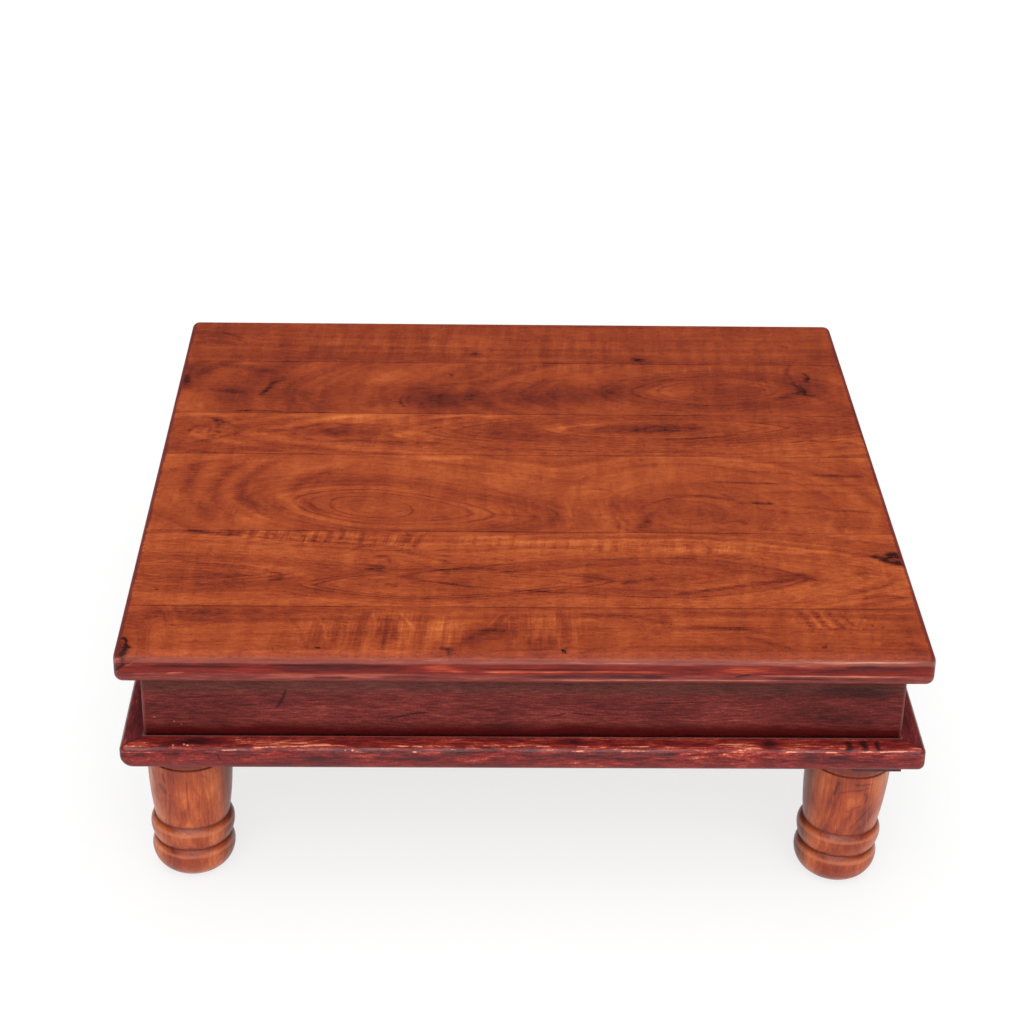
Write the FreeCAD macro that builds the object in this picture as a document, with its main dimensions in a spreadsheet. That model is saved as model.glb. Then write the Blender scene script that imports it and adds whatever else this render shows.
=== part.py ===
import FreeCAD, Part
import os
import re
import Sketcher

from FreeCAD import Rotation, Vector

# A bajot: a low square table, its top glued up from six boards, on a boxed apron,
# a mitred base frame and four short turned legs.
# The origin is on the floor under the middle of the top, +Z is up and the front faces -Y.

doc = FreeCAD.newDocument("bajot")
sheet = doc.addObject("Spreadsheet::Sheet", "sizes")

driving_sizes = [
    ("top_width", 457.0, "top, left to right over the edge"),
    ("top_depth", 457.0, "top, front to back over the edge"),
    ("board_thickness", 20.0, "thickness of the top boards"),
    ("top_corner_round", 4.5, "rounding of the top's corners seen from above"),
    ("top_upper_round", 5.5, "rounding of the top's upper edge"),
    ("top_lower_round", 5.0, "rounding of the top's lower edge"),
    ("seam_1_share", 0.154, "seams between the boards, from the back, as shares of the depth"),
    ("seam_2_share", 0.332, ""),
    ("seam_3_share", 0.464, ""),
    ("seam_4_share", 0.689, ""),
    ("seam_5_share", 0.886, ""),
    ("apron_height", 42.3, "height of the apron boards"),
    ("apron_thickness", 12.0, "thickness of the apron boards"),
    ("apron_inset", 12.8, "how far the apron stands in from the top's edge"),
    ("apron_corner_round", 1.5, "worn rounding of the apron's corners"),
    ("rail_thickness", 14.5, "thickness of the base rails"),
    ("rail_width", 66.0, "width of the base rails, edge to opening"),
    ("rail_left_round", 7.5, "rounding under the base frame's left edge"),
    ("rail_lower_round", 4.0, "rounding of its corners and of its other lower edges"),
    ("rail_upper_round", 3.5, "rounding of the base frame's upper edge"),
    ("leg_height", 92.0, "floor to the underside of the base frame"),
    ("leg_inset", 36.5, "leg axes from the base frame's edges"),
    ("front_left_side_inset", 34.7, "front left leg's axis from the left edge"),
    ("front_left_front_inset", 41.0, "front left leg's axis from the front edge"),
    ("foot_base_radius", 13.2, "flat of the foot on the floor"),
    ("foot_radius", 24.4, "widest place of the foot"),
    ("foot_bulge_height", 15.0, "height of the foot's widest place"),
    ("cove_radius", 21.9, "leg radius in the groove above the foot"),
    ("cove_height", 21.7, "height of that groove"),
    ("ring_radius", 24.6, "widest place of the ring"),
    ("ring_bulge_height", 31.0, "height of the ring's widest place"),
    ("neck_radius", 21.8, "leg radius where the barrel meets the ring"),
    ("neck_height", 36.8, "height of that place"),
    ("barrel_curve", 240.0, "long swell of the barrel"),
    ("collar_radius", 24.6, "radius of the collar under the base frame"),
    ("collar_height", 12.5, "collar, base frame to scribed groove"),
    ("scribe_depth", 0.8, "depth of the scribed groove"),
    ("scribe_width", 1.4, "width of the scribed groove"),
    ("front_right_lean", 3.2, "degrees the front right leg leans, foot to the left"),
    ("tenon_radius", 8.5, "round tenon on top of each leg"),
    ("tenon_clearance", 0.1, "gap round the tenon"),
    ("block_width", 40.0, "corner block, along each apron"),
    ("block_height", 28.0, "corner block, bottom to top"),
    ("block_bevel", 14.0, "bevel of the corner block's inner edge"),
    ("slip_length", 27.8, "packing slip at the front right leg, left to right"),
    ("slip_depth", 22.0, "packing slip, front to back"),
    ("slip_thickness", 2.0, "packing slip, top to bottom"),
    ("slip_edge_gap", 3.5, "packing slip from the front of the base frame"),
    ("slip_side_gap", 13.0, "packing slip from the right of the base frame"),
    ("batten_width", 32.0, "battens that hold the top boards together"),
    ("batten_thickness", 16.0, ""),
    ("batten_spacing", 240.0, "batten to batten, centre to centre"),
    ("batten_bevel", 3.0, "bevel of the battens' lower edges"),
    ("glue_block_length", 100.0, "three-cornered blocks between apron and top"),
    ("glue_block_leg", 18.0, "their side against the apron and against the top"),
    ("batten_screw_length", 28.0, "screws up through the battens"),
    ("rail_screw_length", 35.0, "screws up through the base rails"),
    ("screw_head_radius", 3.9, ""),
    ("screw_head_height", 2.2, "countersunk cone under the head"),
    ("screw_shank_radius", 1.9, ""),
    ("screw_clearance", 0.1, "gap round each screw"),
    ("rail_screw_share", 0.28, "base screws from the middle of their side, as a share of it"),
    ("cut_overrun", 10.0, "how far a cutting shape runs past what it cuts"),
]

for row, (alias, number, note) in enumerate(driving_sizes, start=1):
    sheet.set("A%d" % row, alias)
    sheet.set("B%d" % row, str(number))
    sheet.set("C%d" % row, note)
    sheet.setAlias("B%d" % row, alias)
doc.recompute()


def spell(formula):
    """Write the plain names of a formula as references to the sheet."""
    known = [alias for alias, number, note in driving_sizes]
    return re.sub(r"[a-z]\w*", lambda word: "sizes." * (word[0] in known) + word[0], formula)


def value(formula):
    """The number that a formula gives now."""
    return float(sheet.evalExpression(spell(formula)))


def bind(item, **formulas):
    """Bind properties of an object to formulas of the sheet."""
    for name, formula in formulas.items():
        item.setExpression(name, spell(formula))


def place(item, across="0", back="0", up="0", turn=0, lean=None):
    """Bind an object's place, after turning it about the vertical or leaning it sideways."""
    if lean:
        item.Placement.Rotation = Rotation(Vector(0, 1, 0), value(lean))
        item.setExpression("Placement.Rotation.Angle", spell(lean))
    else:
        item.Placement.Rotation = Rotation(Vector(0, 0, 1), turn)
    item.setExpression("Placement.Base.x", spell(across))
    item.setExpression("Placement.Base.y", spell(back))
    item.setExpression("Placement.Base.z", spell(up))


def plane_sketch(body, name, role):
    """A sketch on one of the body's own origin planes."""
    sketch = body.newObject("Sketcher::SketchObject", name)
    plane = next(item for item in body.Origin.OriginFeatures if item.Role == role)
    sketch.AttachmentSupport = [(plane, "")]
    sketch.MapMode = "FlatFace"
    return sketch


def pin_point(sketch, element, end, across, up, label):
    """Hold a sketch point at a place worked out from the sheet."""
    for kind, formula, axis in (("DistanceX", across, -2), ("DistanceY", up, -1)):
        if formula == "0":
            sketch.addConstraint(Sketcher.Constraint("PointOnObject", element, end, axis))
            continue
        number = sketch.addConstraint(
            Sketcher.Constraint(kind, -1, 1, element, end, value(formula)))
        sketch.renameConstraint(number, label + ("_across" if kind == "DistanceX" else "_up"))
        sketch.setExpression("Constraints[%d]" % number, spell(formula))


def outline(sketch, corners, curves=None):
    """A closed outline through corners given as formulas, anticlockwise.

    curves gives the radius of the stretch after a corner, where it bulges outwards."""
    curves = curves or {}
    points = [Vector(value(across), value(up), 0) for across, up in corners]
    first = sketch.GeometryCount
    starts = []
    for number, start in enumerate(points):
        finish = points[(number + 1) % len(points)]
        if number in curves:
            chord = finish - start
            radius = value(curves[number])
            sagitta = radius - (radius ** 2 - (chord.Length / 2) ** 2) ** 0.5
            outward = Vector(chord.y, -chord.x, 0).normalize()
            middle = (start + finish) / 2 + outward * sagitta
            element = sketch.addGeometry(Part.Arc(start, middle, finish), False)
            radius_number = sketch.addConstraint(Sketcher.Constraint("Radius", element, radius))
            sketch.setExpression("Constraints[%d]" % radius_number, spell(curves[number]))
        else:
            element = sketch.addGeometry(Part.LineSegment(start, finish), False)
        near = (sketch.getPoint(element, 1) - start).Length < (sketch.getPoint(element, 2) - start).Length
        starts.append(1 if near else 2)
    for number, (across, up) in enumerate(corners):
        element = first + number
        before = (number - 1) % len(corners)
        sketch.addConstraint(Sketcher.Constraint(
            "Coincident", first + before, 3 - starts[before], element, starts[number]))
        pin_point(sketch, element, starts[number], across, up, "corner_%d_%d" % (first, number))


def centred_rectangle(sketch, width, depth):
    """A rectangle about the sketch's origin."""
    right, left = "(%s) / 2" % width, "0 - (%s) / 2" % width
    rear, front = "(%s) / 2" % depth, "0 - (%s) / 2" % depth
    outline(sketch, [(left, front), (right, front), (right, rear), (left, rear)])


def pad(body, sketch, height, name):
    """Raise a sketch."""
    feature = body.newObject("PartDesign::Pad", name)
    feature.Profile = sketch
    bind(feature, Length=height)
    sketch.Visibility = False
    doc.recompute()
    return feature


def edges_where(feature, wanted):
    """Names of the edges whose two ends pass a test."""
    names = []
    for number, edge in enumerate(feature.Shape.Edges, start=1):
        ends = [vertex.Point for vertex in edge.Vertexes]
        if len(ends) == 2 and wanted(*ends):
            names.append("Edge%d" % number)
    return names


def round_edges(body, feature, radius, wanted, name):
    """Round the edges of the last feature that pass a test."""
    rounding = body.newObject("PartDesign::Fillet", name)
    rounding.Base = (feature, edges_where(feature, wanted))
    bind(rounding, Radius=radius)
    doc.recompute()
    return rounding


def upright(start, finish):
    """Whether an edge runs straight up."""
    return (start.x - finish.x) ** 2 + (start.y - finish.y) ** 2 < tolerance ** 2


def at_height(height):
    """A test for edges that lie at one height."""
    return lambda start, finish: abs(start.z - height) < tolerance and abs(finish.z - height) < tolerance


def blank(name, width, depth, height, opening=None):
    """A block under the top's outline, with the opening's size taken out of its middle."""
    body = doc.addObject("PartDesign::Body", name)
    sketch = plane_sketch(body, name + "_outline", "XY_Plane")
    centred_rectangle(sketch, width, depth)
    if opening:
        centred_rectangle(sketch, *opening)
    return body, pad(body, sketch, height, name + "_pad")


def outside(limit_across, limit_back, wanted):
    """Narrow a test to edges on the outside of a frame."""
    def test(start, finish):
        outer = all(abs(end.x) > limit_across or abs(end.y) > limit_back for end in (start, finish))
        return outer and wanted(start, finish)
    return test


def combine(kind, name, base, tool):
    """A boolean of two objects."""
    result = doc.addObject(kind, name)
    result.Base = base
    result.Tool = tool
    return result


def gather(name, items):
    """Several cutting shapes as one tool."""
    group = doc.addObject("Part::Compound", name)
    group.Links = items
    return group


def screw_shape(length, gap):
    """A countersunk wood screw pointing up, or with a gap the hole that it leaves."""
    head = value("screw_head_radius") + gap
    shank = value("screw_shank_radius") + gap
    full = length + gap
    profile = [(0, 0), (head, 0), (shank, value("screw_head_height")), (shank, full), (0, full), (0, 0)]
    face = Part.Face(Part.makePolygon([Vector(across, 0, up) for across, up in profile]))
    return face.revolve(Vector(0, 0, 0), Vector(0, 0, 1), full_turn)


def screw_group(name, length, places, gap=0):
    """Equal screws, or their holes, as one object of separate solids."""
    group = doc.addObject("Part::Feature", name)
    solids = []
    for across, back, up in places:
        solid = screw_shape(length, gap)
        solid.translate(Vector(value(across), value(back), value(up)))
        solids.append(solid)
    group.Shape = Part.makeCompound(solids)
    return group


tolerance = 1e-6
full_turn = 360
top_underside = "leg_height + rail_thickness + apron_height"
rail_top = "leg_height + rail_thickness"
apron_face = "apron_inset + apron_thickness"
sides = [("front", 0, "top_width", "top_depth"), ("right", 90, "top_depth", "top_width"),
         ("rear", 180, "top_width", "top_depth"), ("left", 270, "top_depth", "top_width")]
corners = [("front_left", 0, "-", "-", "front_left_side_inset", "front_left_front_inset", None),
           ("front_right", 90, "+", "-", "leg_inset", "leg_inset", "front_right_lean"),
           ("rear_right", 180, "+", "+", "leg_inset", "leg_inset", None),
           ("rear_left", 270, "-", "+", "leg_inset", "leg_inset", None)]
nodes = []


def corner_place(across_sign, back_sign, side_inset, end_inset):
    """Formulas of the place that lies in from both edges at one corner."""
    return ("0 %s ( top_width / 2 - ( %s ) )" % (across_sign, side_inset),
            "0 %s ( top_depth / 2 - ( %s ) )" % (back_sign, end_inset))


# The screws come first, because the wood is drilled for them.

seam_places = ["0"] + ["seam_%d_share" % number for number in range(1, 6)] + ["1"]
seam_lines = ["top_depth / 2 - top_depth * " + seam for seam in seam_places[1:-1]]
batten_ends = ["top_depth / 2 - ( %s )" % apron_face, "%s - top_depth / 2" % apron_face]
board_grips = [batten_ends[0]] + seam_lines + [batten_ends[1]]
batten_screw_places = [(across, "( %s + %s ) / 2" % pair, top_underside + " - batten_thickness")
                       for across in ("0 - batten_spacing / 2", "batten_spacing / 2")
                       for pair in zip(board_grips, board_grips[1:])]
apron_middle = "apron_inset + apron_thickness / 2"
rail_screw_places = []
for step in ("0 - rail_screw_share", "rail_screw_share"):
    for sign in ("-", "+"):
        rail_screw_places.append(("top_width * ( %s )" % step,
                                  "0 %s ( top_depth / 2 - ( %s ) )" % (sign, apron_middle), "leg_height"))
        rail_screw_places.append(("0 %s ( top_width / 2 - ( %s ) )" % (sign, apron_middle),
                                  "top_depth * ( %s )" % step, "leg_height"))

screw_gap = value("screw_clearance")
batten_length = value("batten_screw_length")
rail_length = value("rail_screw_length")
nodes.append(screw_group("batten_screws", batten_length, batten_screw_places))
nodes.append(screw_group("rail_screws", rail_length, rail_screw_places))
batten_screw_holes = screw_group("batten_screw_holes", batten_length, batten_screw_places, screw_gap)
rail_screw_holes = screw_group("rail_screw_holes", rail_length, rail_screw_places, screw_gap)

# The top is glued up from six boards, then its edge is moulded and the battens are screwed on.

top_body, top_pad = blank("top_blank", "top_width", "top_depth", "board_thickness")
top_corners = round_edges(top_body, top_pad, "top_corner_round", upright, "top_corners")
top_upper = round_edges(top_body, top_corners, "top_upper_round",
                        at_height(value("board_thickness")), "top_upper_edge")
round_edges(top_body, top_upper, "top_lower_round", at_height(0), "top_lower_edge")
place(top_body, up=top_underside)
top_drilled = combine("Part::Cut", "top_drilled", top_body, batten_screw_holes)

for number, (rear_seam, front_seam) in enumerate(zip(seam_places, seam_places[1:]), start=1):
    room = doc.addObject("Part::Box", "board_room_%d" % number)
    rear_extra = "cut_overrun" if rear_seam == "0" else "0"
    front_extra = "cut_overrun" if front_seam == "1" else "0"
    bind(room, Length="top_width + 2 * cut_overrun", Height="board_thickness + 2 * cut_overrun",
         Width="top_depth * ( %s - %s ) + %s + %s" % (front_seam, rear_seam, rear_extra, front_extra))
    place(room, across="0 - top_width / 2 - cut_overrun",
          back="top_depth / 2 - top_depth * %s - %s" % (front_seam, front_extra),
          up=top_underside + " - cut_overrun")
    nodes.append(combine("Part::Common", "top_board_%d" % number, top_drilled, room))

for name, sign in (("left", "-"), ("right", "+")):
    body, batten_pad = blank("batten_blank_" + name, "batten_width",
                             "top_depth - 2 * ( %s )" % apron_face, "batten_thickness")
    half_width = value("batten_width / 2")
    bevel = body.newObject("PartDesign::Chamfer", "batten_bevel_" + name)
    bevel.Base = (batten_pad, edges_where(
        batten_pad, lambda start, finish: at_height(0)(start, finish)
        and abs(start.x - finish.x) < tolerance and abs(abs(start.x) - half_width) < tolerance))
    bind(bevel, Size="batten_bevel")
    place(body, across="0 %s batten_spacing / 2" % sign, up=top_underside + " - batten_thickness")
    nodes.append(combine("Part::Cut", "top_batten_" + name, body, batten_screw_holes))

# The apron boards and base rails are mitred, so each frame is cut apart by four wedges.

apron_body, apron_pad = blank(
    "apron_blank", "top_width - 2 * apron_inset", "top_depth - 2 * apron_inset", "apron_height",
    ("top_width - 2 * ( %s )" % apron_face, "top_depth - 2 * ( %s )" % apron_face))
apron_limits = (value("top_width / 2 - apron_inset - apron_thickness / 2"),
                value("top_depth / 2 - apron_inset - apron_thickness / 2"))
round_edges(apron_body, apron_pad, "apron_corner_round", outside(*apron_limits, upright), "apron_arrises")
place(apron_body, up=rail_top)
apron_drilled = combine("Part::Cut", "apron_drilled", apron_body, rail_screw_holes)

frame_body, frame_pad = blank("frame_blank", "top_width", "top_depth", "rail_thickness",
                              ("top_width - 2 * rail_width", "top_depth - 2 * rail_width"))
frame_limits = (value("top_width / 2 - rail_width / 2"), value("top_depth / 2 - rail_width / 2"))


def under_left(start, finish):
    """Whether an edge runs along the underside of the base frame's left rail."""
    return at_height(0)(start, finish) and max(start.x, finish.x) < -frame_limits[0]


def lower_outline(start, finish):
    """Whether an edge is one of the corners or of the other lower edges."""
    return upright(start, finish) or (at_height(0)(start, finish) and not under_left(start, finish))


frame_left = round_edges(frame_body, frame_pad, "rail_left_round",
                         outside(*frame_limits, under_left), "frame_left_edge")
frame_lower = round_edges(frame_body, frame_left, "rail_lower_round",
                          outside(*frame_limits, lower_outline), "frame_lower_edge")
round_edges(frame_body, frame_lower, "rail_upper_round",
            outside(*frame_limits, at_height(value("rail_thickness"))), "frame_upper_edge")
place(frame_body, up="leg_height")


def along_leg(item, across, back, lean):
    """Stand a round shape on the leg's axis, starting in the collar."""
    if lean:
        place(item, across="%s - collar_height * sin( %s )" % (across, lean), back=back,
              up="leg_height - collar_height * cos( %s )" % lean, lean=lean)
    else:
        place(item, across=across, back=back, up="leg_height - collar_height")


sockets = []
for name, turn, across_sign, back_sign, side_inset, end_inset, lean in corners:
    socket = doc.addObject("Part::Cylinder", "socket_" + name)
    bind(socket, Radius="tenon_radius + tenon_clearance",
         Height="collar_height + rail_thickness + block_height + cut_overrun")
    along_leg(socket, *corner_place(across_sign, back_sign, side_inset, end_inset), lean)
    sockets.append(socket)
frame_drilled = combine("Part::Cut", "frame_drilled", frame_body,
                        gather("frame_holes", sockets + [rail_screw_holes]))

for name, turn, length, spread in sides:
    wedge = doc.addObject("Part::Wedge", "mitre_" + name)
    bind(wedge, Xmin="0 - %s / 2 - cut_overrun" % length, Xmax="%s / 2 + cut_overrun" % length,
         X2min="0 - %s / 2 + rail_width + cut_overrun" % length,
         X2max="%s / 2 - rail_width - cut_overrun" % length,
         Ymin="0 - %s / 2 - cut_overrun" % spread, Ymax="0 - %s / 2 + rail_width + cut_overrun" % spread,
         Zmin="leg_height - cut_overrun", Z2min="leg_height - cut_overrun",
         Zmax=top_underside + " + cut_overrun", Z2max=top_underside + " + cut_overrun")
    place(wedge, turn=turn)
    nodes.append(combine("Part::Common", "apron_" + name, apron_drilled, wedge))
    nodes.append(combine("Part::Common", "base_rail_" + name, frame_drilled, wedge))

# Three-cornered blocks glue the apron to the top.

for name, turn, length, spread in sides:
    body = doc.addObject("PartDesign::Body", "glue_block_" + name)
    sketch = plane_sketch(body, "glue_block_%s_outline" % name, "YZ_Plane")
    outline(sketch, [("0", "0"), ("0", "0 - glue_block_leg"), ("glue_block_leg", "0")])
    block = pad(body, sketch, "glue_block_length", "glue_block_%s_pad" % name)
    block.Midplane = True
    inner = "( %s / 2 - ( %s ) )" % (spread, apron_face)
    reach = {0: ("0", "0 - " + inner), 90: (inner, "0"), 180: ("0", inner), 270: ("0 - " + inner, "0")}
    place(body, *reach[turn], top_underside, turn=turn)
    nodes.append(body)

# Corner blocks stand on the base frame inside the apron and hold the legs' tenons.

for (name, turn, across_sign, back_sign, *rest), socket in zip(corners, sockets):
    body = doc.addObject("PartDesign::Body", "block_blank_" + name)
    sketch = plane_sketch(body, "block_outline_" + name, "XY_Plane")
    outline(sketch, [("0", "0"), ("block_width", "0"), ("block_width", "block_width - block_bevel"),
                     ("block_width - block_bevel", "block_width"), ("0", "block_width")])
    pad(body, sketch, "block_height", "block_pad_" + name)
    place(body, *corner_place(across_sign, back_sign, apron_face, apron_face), rail_top, turn=turn)
    nodes.append(combine("Part::Cut", "corner_block_" + name, body, socket))

# A thin slip packs the front right leg where it meets the base frame.

slip = doc.addObject("Part::Box", "packing_slip")
bind(slip, Length="slip_length", Width="slip_depth", Height="slip_thickness")
place(slip, across="top_width / 2 - slip_side_gap - slip_length", back="0 - top_depth / 2 + slip_edge_gap",
      up="leg_height - slip_thickness")
nodes.append(slip)

# Each leg is turned in one piece about its own axis: foot, groove, ring, barrel, collar and tenon.


def swell(out, up):
    """Radius of a curve that starts upright at the widest place and comes in by out over the height up."""
    return "( ( %s ) ^ 2 + ( %s ) ^ 2 ) / ( 2 * ( %s ) )" % (out, up, out)


leg_corners = [
    ("0", "0 - leg_height"),
    ("foot_base_radius", "0 - leg_height"),
    ("foot_radius", "foot_bulge_height - leg_height"),
    ("cove_radius", "cove_height - leg_height"),
    ("ring_radius", "ring_bulge_height - leg_height"),
    ("neck_radius", "neck_height - leg_height"),
    ("collar_radius", "0 - collar_height - scribe_width / 2"),
    ("collar_radius - scribe_depth", "0 - collar_height"),
    ("collar_radius", "0 - collar_height + scribe_width / 2"),
    ("collar_radius", "cut_overrun"),
    ("0", "cut_overrun")]
leg_curves = {1: swell("foot_radius - foot_base_radius", "foot_bulge_height"),
              2: swell("foot_radius - cove_radius", "cove_height - foot_bulge_height"),
              3: swell("ring_radius - cove_radius", "ring_bulge_height - cove_height"),
              4: swell("ring_radius - neck_radius", "neck_height - ring_bulge_height"),
              5: "barrel_curve"}

for name, turn, across_sign, back_sign, side_inset, end_inset, lean in corners:
    across, back = corner_place(across_sign, back_sign, side_inset, end_inset)
    body = doc.addObject("PartDesign::Body", "turning_" + name)
    sketch = plane_sketch(body, "leg_profile_" + name, "XZ_Plane")
    outline(sketch, leg_corners, leg_curves)
    turning = body.newObject("PartDesign::Revolution", "leg_revolution_" + name)
    turning.Profile = sketch
    turning.ReferenceAxis = (sketch, ["V_Axis"])
    turning.Angle = full_turn
    place(body, across, back, "leg_height", lean=lean)
    room = doc.addObject("Part::Box", "leg_room_" + name)
    bind(room, Length="4 * collar_radius", Width="4 * collar_radius", Height="leg_height")
    place(room, across + " - 2 * collar_radius", back + " - 2 * collar_radius", "0")
    leg = combine("Part::Common", "trimmed_leg_" + name, body, room)
    if name == "front_right":
        leg = combine("Part::Cut", "packed_leg_" + name, leg, slip)
    tenon = doc.addObject("Part::Cylinder", "tenon_" + name)
    bind(tenon, Radius="tenon_radius", Height="collar_height + rail_thickness + block_height")
    along_leg(tenon, across, back, lean)
    nodes.append(combine("Part::Fuse", "leg_" + name, leg, tenon))

doc.recompute()

for item in doc.Objects:
    if "Invalid" in item.State or "Error" in item.State:
        raise RuntimeError("%s failed: %s" % (item.Name, item.State))

group_sizes = {"batten_screws": len(batten_screw_places), "rail_screws": len(rail_screw_places)}
os.makedirs("parts", exist_ok=True)
for node in nodes:
    node.Label = node.Name
    shape = node.Shape
    if shape.isNull() or not shape.isValid():
        raise RuntimeError(node.Label + " has no valid shape")
    if len(shape.Solids) != group_sizes.get(node.Label, 1):
        raise RuntimeError("%s has %d solids" % (node.Label, len(shape.Solids)))

for node in nodes:
    node.Shape.exportStep(os.path.join("parts", node.Label + ".step"))
    box = node.Shape.BoundBox
    print("%-26s %8.1f cm3  x %7.1f %7.1f  y %7.1f %7.1f  z %6.1f %6.1f" % (
        node.Label, node.Shape.Volume / 1000, box.XMin, box.XMax, box.YMin, box.YMax, box.ZMin, box.ZMax))
print(len(nodes), "nodes")
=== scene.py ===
import math

import bpy
from mathutils import Matrix, Vector


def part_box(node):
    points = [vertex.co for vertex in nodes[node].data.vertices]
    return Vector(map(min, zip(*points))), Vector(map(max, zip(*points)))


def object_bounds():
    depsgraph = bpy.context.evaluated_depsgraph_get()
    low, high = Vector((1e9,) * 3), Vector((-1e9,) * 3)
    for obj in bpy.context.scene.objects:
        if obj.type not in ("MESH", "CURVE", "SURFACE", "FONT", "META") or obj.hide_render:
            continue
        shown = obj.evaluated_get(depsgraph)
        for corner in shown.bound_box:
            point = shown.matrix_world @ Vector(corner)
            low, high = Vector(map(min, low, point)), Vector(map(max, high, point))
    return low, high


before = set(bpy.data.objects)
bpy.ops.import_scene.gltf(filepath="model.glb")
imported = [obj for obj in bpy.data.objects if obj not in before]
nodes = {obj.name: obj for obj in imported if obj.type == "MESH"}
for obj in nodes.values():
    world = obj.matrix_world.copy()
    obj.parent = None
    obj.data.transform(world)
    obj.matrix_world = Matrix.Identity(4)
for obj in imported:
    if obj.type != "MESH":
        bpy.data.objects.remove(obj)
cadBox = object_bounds()
mm = 0.001
print("frame loaded:", len(nodes), "pieces")


# Short ways to wire shader nodes. A wire is what a node puts out, and sums of wires are Math nodes.

class Wire:
    def __init__(self, socket):
        self.socket = socket
        self.tree = socket.id_data

    def __add__(self, other):
        return maths("ADD", self, other)

    def __radd__(self, other):
        return maths("ADD", other, self)

    def __sub__(self, other):
        return maths("SUBTRACT", self, other)

    def __rsub__(self, other):
        return maths("SUBTRACT", other, self)

    def __mul__(self, other):
        return maths("MULTIPLY", self, other)

    def __truediv__(self, other):
        return maths("DIVIDE", self, other)

    def __abs__(self):
        return maths("ABSOLUTE", self)


def feed(socket, value):
    if isinstance(value, Wire):
        value.tree.links.new(value.socket, socket)
    else:
        socket.default_value = value


def addNode(kind, inputs, **settings):
    tree = next(value.tree for value in inputs.values() if isinstance(value, Wire))
    made = tree.nodes.new(kind)
    for name, value in settings.items():
        setattr(made, name, value)
    for key, value in inputs.items():
        feed(made.inputs[key], value)
    return [Wire(socket) for socket in made.outputs]


def maths(operation, *values):
    return addNode("ShaderNodeMath", dict(enumerate(values)), operation=operation)[0]


def timesPlus(first, second, third):
    return maths("MULTIPLY_ADD", first, second, third)


def centred(value, amount):
    return (value - 0.5) * amount


def smoothRange(value, low, high, lowResult=0.0, highResult=1.0):
    return addNode("ShaderNodeMapRange", {0: value, 1: low, 2: high, 3: lowResult, 4: highResult},
                   interpolation_type="SMOOTHSTEP")[0]


def fade(value, near, far, amount=1.0):
    return smoothRange(value, near, far, amount, 0.0)


def between(value, start, full, fading, end, amount=1.0):
    return smoothRange(value, start, full) * fade(value, fading, end, amount)


def vectorMaths(operation, *vectors, output=0):
    return addNode("ShaderNodeVectorMath", dict(enumerate(vectors)), operation=operation)[output]


def rotated(vector, angle, axis="Z_AXIS"):
    return addNode("ShaderNodeVectorRotate", {"Vector": vector, "Angle": angle}, rotation_type=axis)[0]


def mapped(vector, place=(0, 0, 0), turn=(0, 0, 0), scale=(1, 1, 1)):
    angles = [math.radians(angle) for angle in turn]
    return addNode("ShaderNodeMapping", {"Vector": vector, "Location": place, "Rotation": angles,
                   "Scale": scale})[0]


def axes(vector):
    return addNode("ShaderNodeSeparateXYZ", {0: vector})


def joined(x, y, z):
    return addNode("ShaderNodeCombineXYZ", {0: x, 1: y, 2: z})[0]


def noise(vector, scale=1.0, detail=2.0, roughness=0.5, distortion=0.0, output=0):
    return addNode("ShaderNodeTexNoise", {"Vector": vector, "Scale": scale, "Detail": detail,
                   "Roughness": roughness, "Distortion": distortion})[output]


def mixColour(factor, first, second):
    return addNode("ShaderNodeMix", {0: factor, 6: first, 7: second}, data_type="RGBA")[2]


def srgb(red, green, blue):
    shares = [channel / 255 for channel in (red, green, blue)]
    linear = [((share + 0.055) / 1.055) ** 2.4 if share > 0.04045 else share / 12.92 for share in shares]
    return (*linear, 1)


def newGroup(name, inputs, outputs):
    group = bpy.data.node_groups.new(name, "ShaderNodeTree")
    for label, start in inputs.items():
        kind = "Vector" if start is None else "Float"
        socket = group.interface.new_socket(label, in_out="INPUT", socket_type="NodeSocket" + kind)
        if start is not None:
            socket.default_value = start
    for label, kind in outputs.items():
        group.interface.new_socket(label, in_out="OUTPUT", socket_type="NodeSocket" + kind)
    given = group.nodes.new("NodeGroupInput").outputs
    return group, [Wire(socket) for socket, label in zip(given, inputs)]


def giveOut(group, *results):
    for socket, result in zip(group.nodes.new("NodeGroupOutput").inputs, results):
        feed(socket, result)
    return group


def useGroup(group, **inputs):
    return addNode("ShaderNodeGroup", inputs, node_tree=group)


# Camera, light and floor

cameraLook = {
    "place": (-0.0388, -1.3790, 0.8723),
    "turn": -1.465,      # degrees about the vertical
    "tilt": 61.92,       # degrees up from straight down
    "roll": 1.04,
    "lens": 85.7,        # millimetres on a 36 mm frame
    "frameWidth": 36,
    "nearest": 0.05,     # metres from the lens
}

studio = {
    "skyLow": 0.08,      # brightness of the sky at large
    "skyHigh": 2.9,      # and of the soft light that hangs in it, in front
    "skyAngle": 38,      # height of that light, degrees
    "skyFrom": 0.84, "skyTo": 0.99,    # its edge and its core, as cosines
    "keyStrength": 0.86, "keyAngles": (38, 0, -30),     # sun turned about X and Z, degrees
    "fillStrength": 0.66, "fillAngles": (46, 0, 40),
    "roofStrength": 1.8, "roofAngles": (-6, 0, 0),      # from above, and it shows in no reflection
    "softness": 50,      # degrees that each sun spans
    "floorColour": (0.93, 0.93, 0.925, 1),
    "floorGlow": (0.985, 0.985, 0.985, 1),
    "glowShare": 0.78,   # how far the floor is seen as plain white
    "floorSize": 24,
}


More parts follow.
